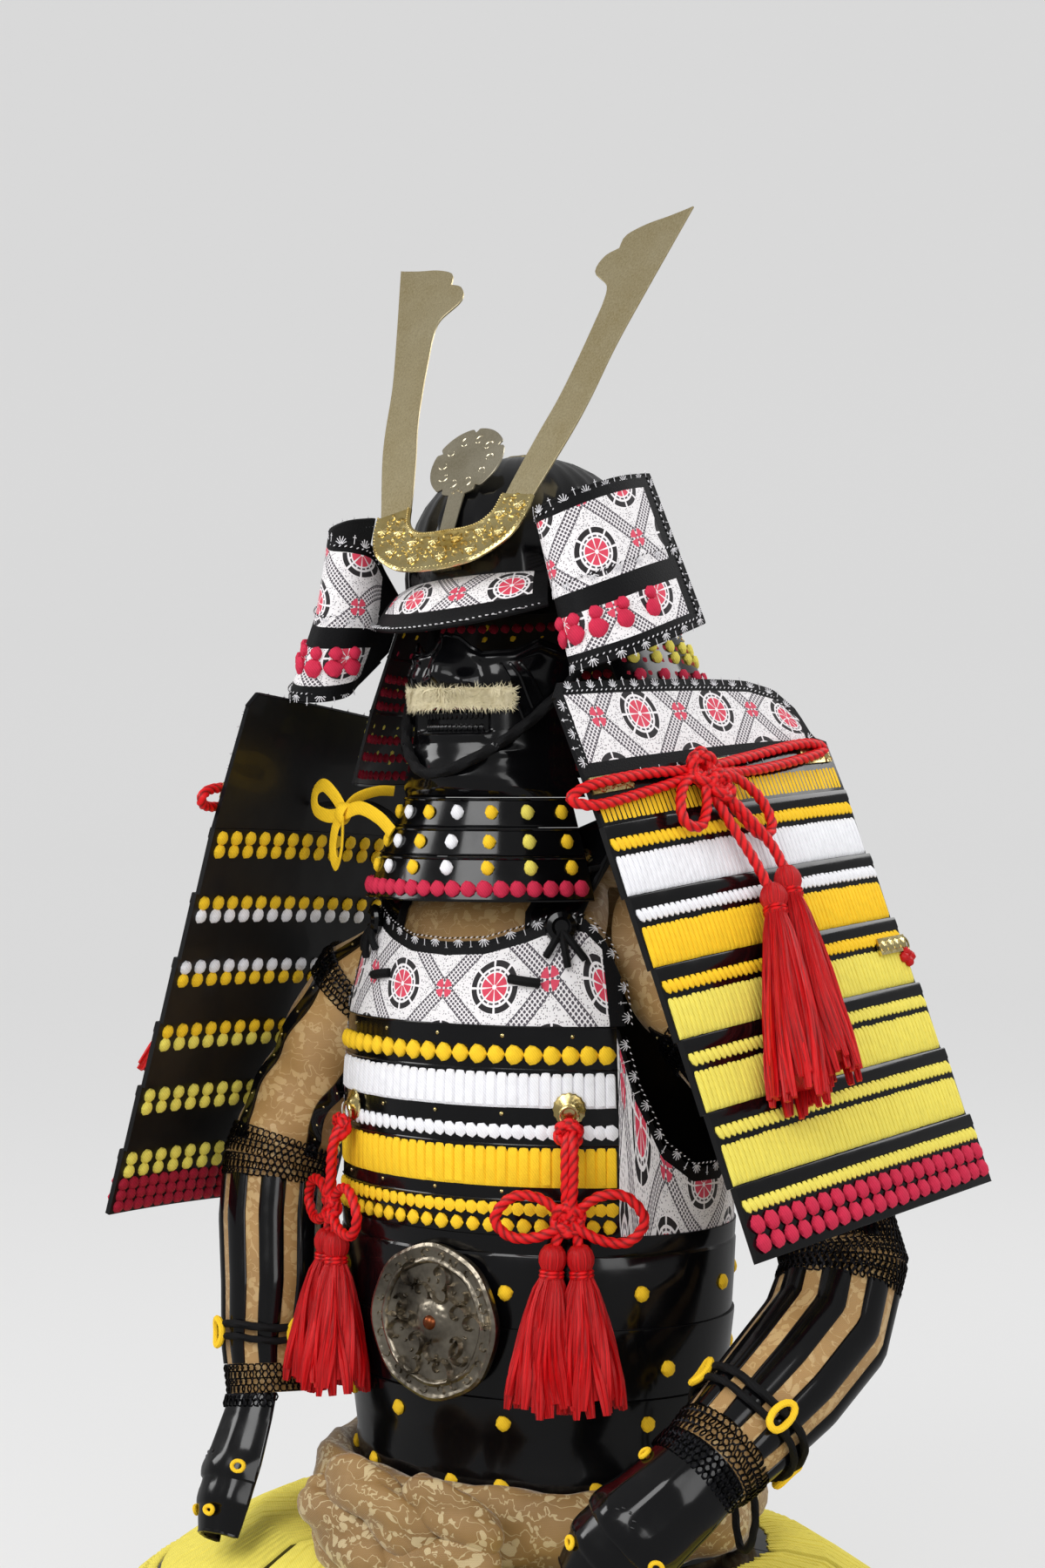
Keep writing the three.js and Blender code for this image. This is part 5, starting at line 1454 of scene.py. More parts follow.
def make_sides_and_back():
    for name, side in (("l", 1), ("r", -1)):
        d = Draft()

        def at(p, v, n):
            return side_at(side, p, v, n)

        d.shell(at, 0, -PLATE, steps(53.1, 127, 56), [0, 0.3, 0.6, 1, 1.4, 2],
                lambda i, j: "edging" if j > 2 else "stencil", "lining", "edging", origin=(30, 10))
        edging(d, at, [(p, 1.98) for p in steps(54, 126, 60)], 0.2, 13, flip=-side, inset=-5)
        d.tube([at(p, 2, -1.5) for p in steps(53.4, 126.6, 70)], 1.9, 6, "edging")
        d.piece("side_board_dressed_" + name, "side_board_" + name, slot="stencilled_leather")

    d = Draft()

    def at(p, z, n):
        return body(180 + p, z, n)

    def back_at(p, v, n):
        return at(p, mix(BODY_BOTTOM, read(BACK_TOP, abs(p)), v), n)

    d.shell(back_at, 0, -PLATE, steps(-52.9, 52.9, 80), [0, 0.2, 0.4, 0.6, 0.8, 0.97, 1], "lacquer", "lining",
            "edging")
    d.tube([back_at(p, 1, -1.5) for p in steps(-52.6, 52.6, 90)], 1.9, 6, "edging")
    for i, (z, silk) in enumerate(((-96, "pearl"), (-148, "amber"), (-200, "lemon"), (-252, "lemon"))):
        span = (-49, 49) if i else (-46, 46)
        twist_row(d, at, span, z + 8, 1.0, 44, 6.6, 10, silk, 0.5)
        lace_band(d, at, span, (z - 2, z - 32), 52, silk, 1.8, 20 + i)
    knot_row(d, at, (-51, 51), -306, 1.0, 24, 10.5, "pink", 0.5)
    d.turned(body(180, -66, -0.5), (0, 1, 0), [(0, 0), (0, 17), (2.5, 16), (4.5, 9), (5, 0)], 32, "gilt", 8,
             0.06)
    d.piece("back_board_dressed", "back_board", slot="black_lacquer")


def make_waist():
    rows = (
        ("waist_lame_1", ((-316.3, 1.5), (-329, 0.9), (-331, 0.3), (-333, 1.6), (-360, 0.8), (-390.7, -0.5))),
        ("waist_lame_2", ((-391, 1.5), (-394, 1.5), (-420, 0.7), (-448.7, -0.5))),
        ("waist_lame_3", ((-449, 1.5), (-452, 1.5), (-480, 0.6), (-506, -0.2), (-508, 1), (-530, 1),
                          (-560, 1))),
    )
    # Heights and angles of the amber knots in front; behind, they stand at even angles
    spots = {
        "waist_lame_1": ((-362, (-47, -17, 21, 60, 96, -80)),),
        "waist_lame_2": ((-424, (39, 70, -62)),),
        "waist_lame_3": ((-468, (-48, -16, 20, 64, -82)), (-520, (-58, -32, 3, 19, 48))),
    }
    for name, table in rows:
        d = Draft()
        d.wall(lambda p, row: body(p, row[0], row[1]), lambda p, row: body(p, row[0], -PLATE),
               steps(0, 360, 144)[:-1], list(table), "lacquer", "lining", wrap=True)
        for z, places in spots[name]:
            for phi in (*places, *range(125, 236, 22)):
                put(d, "knot", body, phi, z, 1.4, (13, 13.5, 8), "amber", 0.5, 12)
        d.piece(name + "_dressed", name, slot="black_lacquer")


# Middle of a strap: y and z of its underside and the way down out of it
STRAP_MID = ((-60, -18, -0.78, 0.62), (-34, 6, -0.45, 0.89), (0, 14, 0, 1), (35, 13, 0.2, 0.98),
             (64, 4, 0.5, 0.87))


def make_straps():
    for name, side in (("l", 1), ("r", -1)):
        d = Draft()

        def face(t, row, depth):
            kind, value = row
            if kind == "front":
                return body(side * mix(26, 46, t), value, -PLATE - 0.9 - depth)
            if kind == "back":
                return body(180 - side * mix(28, 48, t), value, -PLATE - 0.9 - depth)
            y, z, ny, nz = value
            return (side * mix(66, 114, t), y - ny * depth, z - nz * depth)

        rows = [("front", -104), ("front", -60)] + [("mid", row) for row in STRAP_MID] + [("back", -22),
                                                                                          ("back", -60)]

        def strap(t, s, depth):
            i = min(len(rows) - 2, int(s))
            return between(face(t, rows[i], depth), face(t, rows[i + 1], depth), s - i)

        wave = steps(0, len(rows) - 1, 40)
        d.shell(strap, 0, 5, [0, 0.1, 0.3, 0.5, 0.7, 0.9, 1], wave,
                lambda i, j: "edging" if i in (0, 5) else "lacquer", "lining", "edging")
        for t in (0.03, 0.97):
            d.tube([strap(t, s, 0) for s in wave], 1.8, 6, "edging")
        for s in (2.1, 6.2):
            d.turned(strap(0.5, s, -1), minus(strap(0.5, s, -2), strap(0.5, s, 0)),
                     [(0, 0), (0, 7), (3, 6), (4, 0)], 20, "gilt", 6, 0.06)
        guard = GUARDS[name]
        tie = smooth([on_guard(guard, -30, -24, -guard["tie"]), (side * 150, -36, 26), (side * 112, -34, 0),
                      (side * 109, -56, -21), add(throat(side * 70, -25, -1.25), (side * 0.342, 0.94, 0),
                                                  1.2)], 60)
        d.piece("strap_dressed_" + name, "strap_" + name, slot="black_cord")
        d = Draft()
        d.tube(tie, lambda i, a: 2.5 + 0.25 * cos(3 * a + i * 0.8), 9, "black_cord")
        declare_cord(d.piece("strap_tie_" + name, slot="black_cord"), tie, "object")


def make_mirror():
    d = Draft()
    centre = (4, -141.6, -389)
    rows = [(0, 0), (0, 62), (5, 63.4), (7.4, 63), (9, 60.5), (8.2, 58.5), (7.4, 57), (7.4, 52), (9, 50.5),
            (9.4, 49),
            (8.4, 47.5), (6.2, 46.5), (6, 44), (6.3, 24), (6.6, 18), (8, 16), (10, 11), (11, 6), (11.2, 0)]
    d.turned(centre, (0, -1, 0), rows, 96, "bronze", 8, 0.01)
    d.turned(add(centre, (0, -1, 0), 9.5), (0, -1, 0), [(0, 0), (0, 6.5), (3, 5.5), (5, 3), (5.4, 0)], 24,
             "copper")
    for count, r, size in ((22, 54.5, 9), (9, 39, 24), (7, 26, 20)):
        for i in range(count):
            a = TURN * (i + 0.3 * (r < 30)) / count
            here = add(centre, (r * cos(a), -7.0 if r > 50 else -6.0, r * sin(a)))
            d.repeat("scroll", "bronze", here, (cos(a + 1.9 * i), 0, sin(a + 1.9 * i)), (0, -1, 0),
                     (size * 1.1, size * 1.1, size * 1.9))
    for i in range(22):
        a = TURN * i / 22
        here = add(centre, (33.5 * cos(a), -6.2, 33.5 * sin(a)))
        d.repeat("dome", "bronze", here, (cos(a), 0, sin(a)), (0, -1, 0), (4.5, 3, 4))
    d.piece("mirror_dressed", "mirror", slot="dark_bronze")


# Shoulder guards

# Upper edge of a crown board, along it and down; then the silk of each board, outside and inside
CROWN_TOP = ((-155, -106), (-146, -117), (-70, -112), (20, -106), (70, -102), (104, -93), (127, -74),
             (137, -48),
             (155, -43))
BOARD_SILKS = (("amber", "pearl"), ("pearl", "amber"), ("amber", "lemon"), ("lemon", "lemon"),
               ("lemon", "lemon"),
               ("lemon", None))
INNER_SILKS = (("amber", "amber"), ("amber", "pearl"), ("pearl", "amber"), ("amber", "lemon"),
               ("lemon", "lemon"),
               ("lemon", "lemon"))


def make_guards():
    for name, guard in GUARDS.items():
        def crown(u, k, n):
            top = read(CROWN_TOP, u)
            if k < 0:
                height = mix(-41, top + BORDER, -k) if k >= -1 else mix(top + BORDER, top, -k - 1)
                return on_guard(guard, u, min(-41.0, height) if top + BORDER > -41 else height, n)
            return on_guard(guard, u, mix(-41, -0.3, k), n)

        d = Draft()
        across = [-155, -151, -146] + steps(-140, 126, 50) + [130, 133, 137, 146, 155]
        down = [-2, -1.5, -1, -0.7, -0.4, -0.15, 0, 0.36, 0.42, 1]

        def skin(i, j):
            if j >= 6:
                return "lacquer"
            return "edging" if i < 2 or i > len(across) - 7 or j < 2 or j == 5 else "stencil"

        def flat(u, v, n):
            return on_guard(guard, u, v, n)

        d.shell(crown, 1, -3, across, down, skin, "lining", "edging", origin=(10, 20))
        side = guard["side"]
        edging(d, crown, [(u, -1.95) for u in steps(-145, 122, 60)], 1.2, 12, flip=side)
        edging(d, crown, [(-154, k) for k in steps(-0.1, -1.8, 16)], 1.2, 12, flip=side)
        edging(d, crown, [(134, k) for k in steps(-1.4, -0.05, 10)], 1.2, 12, flip=side)
        d.tube([crown(u, -2, -1) for u in [-155, -150, -146] + steps(-140, 155, 60)], 2.2, 6, "edging")
        # The fitting strip: black leather with sprigs and three gilt mounts, then a short laced band
        for i in (2, 3, 4, 7, 8, 9, 12, 13):
            put(d, "sprig", flat, mix(-148, 148, (i + 0.5) / 14), -31, 1.3, (9, 9, 1.2), "paste", 1)
        for u in (-132, -8, 128):
            d.shell(flat, 3.2, 0.8, [u + x for x in steps(-21, 21, 10)], [-39, -37, -27.5, -25.5], "gilt")
            for x in (-15, -5, 5, 15):
                put(d, "rosette", flat, u + x, -32.5, 3.0, (10, 10, 5), "gilt", 1)
                put(d, "scroll", flat, u + x + 5, -29, 3.0, (8, 8, 8), "gilt", 1, 60 * x)
        lace_band(d, flat, (-152, 152), (-22, -1.4), 60, "amber", 1.6, 50)
        d.piece("sode_crown_dressed_" + name, "sode_%s_crown" % name, slot="stencilled_leather")

        for i in range(6):
            d = Draft()
            v0 = i * SODE_PITCH
            tall = SODE_PITCH - 0.3
            rows = [0, 0.02, 0.15, 0.17, 0.9, 0.98, 1]
            proud = {0: 1.6, 0.02: 2.0, 0.15: 1.8, 0.17: 1.0, 0.9: -1.6, 0.98: -1.9, 1: -1.7}
            d.wall(lambda u, r: flat(u, v0 + r * tall, proud[r]),
                   lambda u, r: flat(u, v0 + r * tall, mix(1.5, -1.5, r) - 5), steps(-155, 155, 24), rows,
                   "lacquer", "lining")

            def at(u, v, n):
                return flat(u, v, n + mix(1.0, -1.6, clamp((v - v0) / tall)))

            def inner(u, v, n):
                return flat(u, v, mix(1.5, -1.5, (v - v0) / tall) - 5 - n)

            span = (-152.5, 152.5)
            first, second = BOARD_SILKS[i]
            twist_row(d, at, span, v0 + 0.275 * tall, 0.7, 50, 6.2, 12.5, first, 1)
            if second:
                lace_band(d, at, span, (v0 + 0.43 * tall, v0 + 0.985 * tall), 60, second, 2.2, 60 + i, 2.4)
            else:
                for row in (0.53, 0.78):
                    knot_row(d, at, span, v0 + row * tall, 1.0, 20, 14.6, "pink", 1)
            for row, silk in zip((0.14, 0.34), INNER_SILKS[i]):
                row_of(d, "knot", inner, span, v0 + row * tall, 0.4, 15, (14, 13, 7.5), silk, 1)
            if i == 5:
                for row in (0.54, 0.71, 0.88):
                    row_of(d, "knot", inner, span, v0 + row * tall, 0.4, 22, (13, 12, 7), "crimson", 1)
            if i == 2:
                d.shell(at, 4.4, 1.2, steps(112, 154, 10), [v0 + 16, v0 + 18, v0 + 28, v0 + 30], "gilt")
                for u in (118, 128, 138, 148):
                    put(d, "rosette", at, u, v0 + 23, 4.0, (11, 11, 5), "gilt", 1)
                d.tube([at(153 + 6 * cos(a), v0 + 24 + 6 * sin(a), 3) for a in circle(20)], 1.0, 6,
                       "gilt", closed=True)
                for x, y in ((0, 7), (5, 11), (-5, 11), (0, 15)):
                    put(d, "knot", at, 150 + x, v0 + 24 + y, 3.5, (9.5, 9.5, 8), "fringe", 1, 30 * x)
            d.piece("sode_dressed_%s_%d" % (name, i + 1), "sode_%s_%d" % (name, i + 1))


# Sleeves

# Arms: x, y, z and radius of each section, and the way the back of the hand faces
ARMS = {
    "l": {
        "sleeve": ((176, 6, -140, 54), (222, 22, -215, 49), (262, 34, -290, 47), (278, 36, -340, 49)),
        "forearm": ((278, 36, -340, 49), (280, 2, -388, 50), (272, -50, -422, 48), (260, -96, -452, 43),
                    (250, -128, -474, 38)),
        "hand": ((238, -146, -494, 40), (218, -164, -518, 43), (198, -176, -540, 40), (184, -182, -560, 32)),
        "back": (0.35, -0.72, 0.6),
    },
    "r": {
        "sleeve": ((-168, -18, -138, 51), (-203, -38, -200, 48), (-222, -58, -252, 45),
                   (-230, -70, -288, 46)),
        "forearm": ((-230, -70, -288, 46), (-225, -82, -335, 45), (-214, -94, -390, 43),
                    (-210, -104, -440, 39),
                    (-203, -110, -480, 35)),
        "hand": ((-201, -120, -506, 36), (-199, -136, -540, 40), (-197, -154, -572, 38),
                 (-196, -166, -594, 30)),
        "back": (-0.55, -0.8, 0.25),
    },
}


def sections(rows, first):
    """Rings down a limb: centre, two axes across and one along, and the radius."""
    centres = [row[:3] for row in rows]
    across = first
    out = []
    for i, row in enumerate(rows):
        before, after = centres[max(0, i - 1)], centres[min(len(rows) - 1, i + 1)]
        along = unit(minus(after, before))
        across = unit(add(across, along, -dot(across, along)))
        out.append([centres[i], across, cross(along, across), along, row[3]])
    return out


def on_limb(limb, s, angle, off):
    """A place on the limb: s counts its sections, angle goes round it."""
    i = min(len(limb) - 2, int(s))
    t = s - i

    def at(section):
        centre, across, over, _, r = section
        wide, tall = (r[0] + off, r[1] + off * 0.6) if isinstance(r, tuple) else (r + off, r + off)
        return add(add(centre, across, wide * cos(angle)), over, tall * sin(angle))

    return between(at(limb[i]), at(limb[i + 1]), t)


def limbs(name):
    arm = ARMS[name]
    side = 1 if name == "l" else -1
    # The arm hole's highest and lowest point; 52 below is half its depth
    top, pit = (side * 99.8, 0, -41), (side * 134, 0, -166)
    middle = between(top, pit, 0.5)
    rise = minus(top, middle)
    half = length(rise)
    frames = sections([(*middle, half), *arm["sleeve"]], (0, 1, 0))
    slant = unit(rise)
    over = slant if frames[0][2][2] > 0 else tuple(-c for c in slant)
    frames[0] = [middle, (0, 1, 0), over, frames[0][3], (52, half)]
    elbow = frames[-1]
    lower = sections(arm["forearm"], elbow[1])
    bend = unit(add(unit(minus(lower[1][0], elbow[0])), elbow[3]))
    across = unit(add(elbow[1], bend, -dot(elbow[1], bend)))
    shared = [elbow[0], across, cross(bend, across), bend, elbow[4]]
    frames[-1] = shared
    lower[0] = shared
    wrist = lower[-1]
    hand = sections([(*wrist[0], wrist[4]), *arm["hand"]], arm["back"])
    square = unit(add(arm["back"], wrist[3], -dot(arm["back"], wrist[3])))
    hand[0] = [wrist[0], square, cross(wrist[3], square), wrist[3], wrist[4]]
    return frames, lower, hand


def mail_band(d, limb, s0, s1, off, pitch=5.2, arc=(0, TURN)):
    """Rings of mail over part of a limb, laid in staggered rows."""
    reach = length(minus(on_limb(limb, s1, 0, off), on_limb(limb, s0, 0, off)))
    rows = max(2, round(reach / pitch))
    for j in range(rows):
        s = mix(s0, s1, (j + 0.5) / rows)
        girth = length(minus(on_limb(limb, s, 0, off), on_limb(limb, s, pi,
                                                               off))) / 2 * (arc[1] - arc[0])
        count = round(girth / (pitch * 1.15))
        for i in range(count):
            a = mix(arc[0], arc[1], (i + 0.5 * (j % 2)) / count)
            here = on_limb(limb, s, a, off)
            out = minus(on_limb(limb, s, a, off + 2), here)
            along = minus(on_limb(limb, s, a + 0.05, off), here)
            lean = 0.5 if j % 2 else -0.5
            out = add(unit(out), unit(along), lean)
            d.repeat("link", "iron", here, along, out, (7.4, 7.4, 7.4))


def make_yoke():
    d = Draft()

    def yoke(phi, row, off):
        flap = clamp((abs(cos(phi * RAD)) - 0.35) / 0.3)
        levels = (
            ring(66 + off, 60 + off, phi, -8, -8),
            ring(87 + off, 73 + off, phi, -32, -4),
            between(ring(93 + off, 79 + off, phi, -36), body(phi, -60, -10.2 + off), flap),
            between(ring(99 + off, 84 + off, phi, -41), body(phi, -100, -10.2 + off), flap),
        )
        i = min(2, int(row))
        fold = 0.9 * sin(phi * RAD * 23 + 2 * sin(row)) * sin(pi * row / 3)
        p = between(levels[i], levels[i + 1], row - i)
        return add(p, unit((p[0], p[1], 30)), fold)

    d.wall(lambda p, r: yoke(p, r, 0), lambda p, r: yoke(p, r, -2.5), steps(0, 360, 132)[:-1],
           steps(0, 3, 12),
           "brocade", "brocade", wrap=True)
    d.tube([yoke(p, 0, -1) for p in steps(0, 360, 120)[:-1]], 2.4, 8, "sash", closed=True)
    made = d.piece("yoke_dressed", "yoke", slot="brocade", sharp=60)


def make_sleeves():
    for name in ("l", "r"):
        frames, lower, hand = limbs(name)
        chance = random.Random(5 if name == "l" else 6)
        waves = [(chance.randint(1, 3), chance.uniform(1.2, 3.4), chance.uniform(0, TURN)) for _ in range(7)]

        def cloth(s, a, off):
            fold = sum(sin(n * a + k * s * 2.6 + shift) for n, k, shift in waves) * 0.95
            ends = clamp(s / 0.35) * clamp((4 - s) / 0.35)
            return on_limb(frames, s, a, off + fold * ends - 0.8 * ends)

        d = Draft()
        d.wall(lambda a, s: cloth(s, a, 0), lambda a, s: cloth(s, a, -2.6), circle(72), steps(0, 4, 48),
               "brocade",
               "brocade", wrap=True)
        sleeve = d.piece("sleeve_dressed_" + name, "sleeve_" + name, slot="brocade", sharp=60)
        d = Draft()
        for k in range(4):
            a = TURN * (k + 0.4) / 4

            def strip(t, s, off):
                return cloth(s, a + 0.1 * sin(3 * s) + t, off)

            d.shell(strip, 2.6, 0.2, [-0.14, -0.1, 0.1, 0.14], steps(0.5, 3.7, 40), "lacquer")
            for s in steps(0.7, 3.5, 9):
                here = strip(0, s, 2.6)
                out = minus(cloth(s, a, 5), cloth(s, a, 0))
                along = minus(cloth(s, a + 0.05, 0), cloth(s, a, 0))
                d.repeat("dome", "gilt", here, along, out, (2.4, 2.4, 2.0))
        mail_band(d, frames, 3.42, 3.98, 1.6)
        mail_band(d, frames, 0.9, 1.25, 2.2)
        mail = d.piece("sleeve_mail_" + name, slot="black_lacquer", sharp=60)
        long = path_length([row[:3] for row in ARMS[name]["sleeve"]]) * MM + 0.1

        d = Draft()
        d.wall(lambda a, s: on_limb(lower, s, a, -1.2), lambda a, s: on_limb(lower, s, a, -3), circle(72),
               [0.006] + steps(0.1, 4, 32), "brocade", "brocade", wrap=True)
        cuff = d.piece("forearm_dressed_" + name, "forearm_" + name, slot="black_lacquer")
        d = Draft()
        splints = 8
        for k in range(splints):
            mid = TURN * (k + 0.5) / splints
            width = 0.255

            def splint(t, s, crown, off):
                rise = crown * sqrt(max(0.0, 1 - (t / width) ** 2))
                return on_limb(lower, s, mid + t * (1 - 0.25 * clamp((s - 2.5) / 1.5)), rise + off)

            d.wall(lambda t, s: splint(t, s, 3.4, -1.4), lambda t, s: splint(t, s, 0, -2.2),
                   [width * x for x in (-1, -0.93, -0.75, -0.4, 0, 0.4, 0.75, 0.93, 1)],
                   [0.34] + steps(0.4, 3.3, 26) + [3.4], "lacquer")
        mail_band(d, lower, 0.02, 0.36, 0.8)
        mail_band(d, lower, 3.42, 3.98, 0.8)
        for s, r in ((2.72, 3.4), (2.92, 3.0)):
            cord = [on_limb(lower, s + 0.04 * sin(3 * a), a, 4.6) for a in circle(90)]
            d.tube(cord, lambda i, a: r + 0.3 * cos(3 * a + i * 0.9), 9, "black_cord", closed=True)
        for a in (0.6, 2.2, 3.9, 5.3):
            loop = [on_limb(lower, 2.82 + 0.22 * cos(t), a + 0.14 * sin(t),
                            7.2 + 1.5 * cos(t) ** 2)
                    for t in circle(18)]
            d.tube(loop, 2.9, 8, "amber", closed=True)
        splinted = d.piece("forearm_splints_" + name, slot="black_lacquer")
        long = path_length([row[:3] for row in ARMS[name]["forearm"]]) * MM

        d = Draft()

        def shield(a, s, depth):
            ridge = 1.6 * hump(a, 9) * clamp(s) + 0.9 * hump(abs(a) - 34, 7) * clamp(s - 0.6)
            lames = 1.5 * clamp((2.5 - s) / 0.05) + 1.2 * clamp((3.2 - s) / 0.05)
            near = max(hump(a - c, 15) for c in (-54, -18, 18, 54))
            fingers = near * (3.4 * hump(s - 2.25, 0.3) + 2.6 * clamp((s - 2.5) / 0.3))
            return on_limb(hand, s, a * RAD, ridge + lames + fingers - 2.4 - depth)

        d.wall(lambda a, s: shield(a, s, 0), lambda a, s: on_limb(hand, s, a * RAD, -2.5), steps(-80, 80, 52),
               [0.008] + steps(0.15, 2.45, 24) + [2.5, 2.55] + steps(2.6, 3.15, 6) + [3.2, 3.25] + steps(3.3,
                                                                                                         4,
                                                                                                         7),
               "lacquer", "lining")
        rim = [shield(-80, s, 1) for s in steps(0.05, 4, 26)] + [shield(a, 4, 1) for a in steps(-76, 76, 26)]
        rim += [shield(80, s, 1) for s in steps(4, 0.05, 26)]
        d.tube(rim, 1.7, 6, "lacquer")
        mail_band(d, hand, 0.05, 0.5, 1.8, arc=(-1.4, 1.4))
        for s, a in ((0.9, 52), (2.2, -56), (3.3, 30), (3.4, -30)):
            loop = [on_limb(hand, s + 0.12 * cos(t), (a + 7 * sin(t)) * RAD, 2.4 + sin(t) ** 2)
                    for t in circle(16)]
            d.tube(loop, 1.9, 8, "amber", closed=True)
        for i in range(8):
            a = TURN * i / 8
            here = on_limb(hand, 2.0 + 0.14 * cos(a), (12 * sin(a)) * RAD, 1.6)
            out = minus(on_limb(hand, 2, 0, 4), on_limb(hand, 2, 0, 0))
            d.repeat("dome", "lacquer", here, (1, 0, 0), out, (3.2, 3.2, 1.6))
        d.piece("hand_guard_dressed_" + name, "hand_guard_" + name, slot="black_lacquer")
        if name == "l":
            start = on_limb(lower, 2.9, 5.9, 6.5)
            drop = [start, add(start, (14, -8, -8)), add(start, (26, -14, -34)), add(start, (20, -12, -62)),
                    add(start, (6, -4, -66)), add(start, (-1, 0, -40)), add(start, (-2, 3, -12))]
            path = smooth(drop, 60)
            d = Draft()
            d.tube(path, lambda i, a: 3.1 + 0.3 * cos(3 * a + i * 0.9), 9, "black_cord")
            declare_cord(d.piece("wrist_loop", slot="black_cord"), path, "object")


# Sash and skirt

# The sash's roll: height of its middle, half its depth and half its height, and how far its folds stand out
ROLL_AT = -548
ROLL_DEEP = 19
ROLL_TALL = 31.5
FOLDS = 9


def make_sash():
    d = Draft()

    def roll(phi, turn):
        free = 0.5 + 0.5 * cos(turn * RAD)
        wrap = FOLDS * free * (abs(cos(turn * RAD + 4.5 * phi * RAD)) - 0.6)
        wrap += 1.1 * sin(5 * turn * RAD - 17 * phi * RAD)
        out = (ROLL_DEEP + wrap) * cos(turn * RAD)
        return ring(182 + out, 148 + out, phi, ROLL_AT + (ROLL_TALL + wrap) * sin(turn * RAD))

    n, m = 168, 28
    d.points += [roll(360 * i / n, 360 * k / m) for i in range(n) for k in range(m)]
    faces = []
    for i in range(n):
        for k in range(m):
            a, b = (i + 1) % n, (k + 1) % m
            # The roll is 1.05 m round the waist and 0.17 m round its section
            g, h = 1.05 * i / n, 1.05 * (i + 1) / n
            v, w = 0.17 * k / m, 0.17 * (k + 1) / m
            faces.append(((i * m + k, a * m + k, a * m + b, i * m + b), ((g, v), (h, v), (h, w), (g, w)),
                          "sash"))
    d.close(faces)
    d.piece("sash_band_dressed", "sash_band", slot="brocade", sharp=80)

    d = Draft()

    def fold(points, wide, flat, shift):
        path = smooth(points, 56)
        count = len(path) - 1

        def size(i, angle):
            end = sqrt(max(0.02, 1 - abs(2 * i / count - 1) ** 5))
            crease = 0.3 * wide * (abs(cos(1.5 * angle + 0.084 * i + shift)) - 0.6)
            crease += 0.6 * sin(7 * angle - i * 0.26)
            return (wide + crease) * end

        d.tube(path, size, 28, "sash", flat=flat, across=(0, 0, 1))

    fold([(-98, -180, -536), (-76, -192, -540), (-44, -203, -552), (-14, -206, -566), (8, -200, -580)], 24,
         0.72, 0)
    fold([(-66, -190, -518), (-34, -202, -516), (2, -208, -526), (30, -205, -544), (46, -196, -560)], 23,
         0.72, 2)
    fold([(18, -200, -512), (44, -202, -516), (70, -196, -530), (98, -182, -548)], 20, 0.7, 4)
    fold([(-4, -198, -570), (28, -206, -566), (62, -199, -560), (98, -182, -562)], 21, 0.7, 5)
    fold([(-86, -184, -562), (-62, -194, -572), (-36, -200, -578), (-10, -198, -584)], 16, 0.7, 1)
    d.piece("sash_knot_dressed", "sash_knot", slot="brocade", sharp=80)


# Skirt: share of its slope, height, and its size against the waist in front and at the flanks
SKIRT = ((0, -581.5, 1, 1), (0.12, -590, 1.14, 1.45), (0.4, -632, 1.34, 1.9), (0.7, -668, 1.48, 2.2),
         (1, -706, 1.58, 2.38))
# Length of the slope, which the lacing is laid out on
SLOPE = 160
# Panels: name and the angles of their edges
PANELS = (("front", -34.7, 34.7), ("side_l", 35.3, 104.7), ("side_r", -104.7, -35.3),
          ("back_l", 105.3, 179.7),
          ("back_r", -179.7, -105.3))


def skirt_at(phi, t, off=0.0):
    flank = abs(sin(phi * RAD)) ** 1.2
    scale = mix(read(SKIRT, t, 2), read(SKIRT, t, 3), flank)
    p = ring(182 * scale, 148 * scale, phi, read(SKIRT, t))
    return add(p, (0, 0, 1), off)


def make_skirt():
    for k, (name, first, final) in enumerate(PANELS):
        d = Draft()
        across = steps(first, final, 30)
        d.wall(lambda p, t: skirt_at(p, t, -1), lambda p, t: skirt_at(p, t, -5 if t else -3), across,
               [0, 0.04, 0.12, 0.2, 0.4, 0.55, 0.7, 0.85, 1], "lacquer", "lining")
        edge = 0.9
        girth = length(minus(skirt_at(final, 0.5), skirt_at(first, 0.5)))
        cords = max(20, round(girth * 1.1 / 11))
        span = (first + edge, final - edge)

        def at(p, down, n):
            return skirt_at(p, down / SLOPE, n - 1)

        lace_band(d, at, span, (6, 82), cords, "lemon", 3.2, 80 + k, 1.6, 2.0, 2.6, True)
        twist_row(d, at, span, 90, 1.6, round(cords * 1.1), girth / cords, 13, "lemon", 0.5)
        lace_band(d, at, span, (98, 138), round(cords * 1.2), "lemon", 3.0, 90 + k, 1.6, 2.0, 2.4)
        row_of(d, "knot", at, span, 147, 1.2, round(cords * 0.9), (11, 11, 6), "pink", 0.5)
        d.tube([skirt_at(p, 0.985, -1.5) for p in across], 2.4, 6, "lacquer")
        d.piece("skirt_dressed_" + name, "skirt_" + name, slot="lemon_lacing")


# Red rope bows with tassels

def rope_radius():
    return bpy.context.scene.armour.rope_radius / MM


def rope(d, points, count, closed=False):
    """A three-strand twisted silk rope."""
    radius = rope_radius()
    path = smooth(points, count, closed)
    pitch = path_length(path) / count
    turn = TURN * pitch / ROPE_LAY
    if closed:
        turn = TURN * max(1, round(turn * count / TURN)) / count

    def strand(i, angle):
        # Three rounded strands that turn along the rope
        return radius * (0.76 + 0.29 * abs(cos(1.5 * (angle - turn * i))))

    d.tube(path, strand, 12, "rope", closed=closed)
    return path


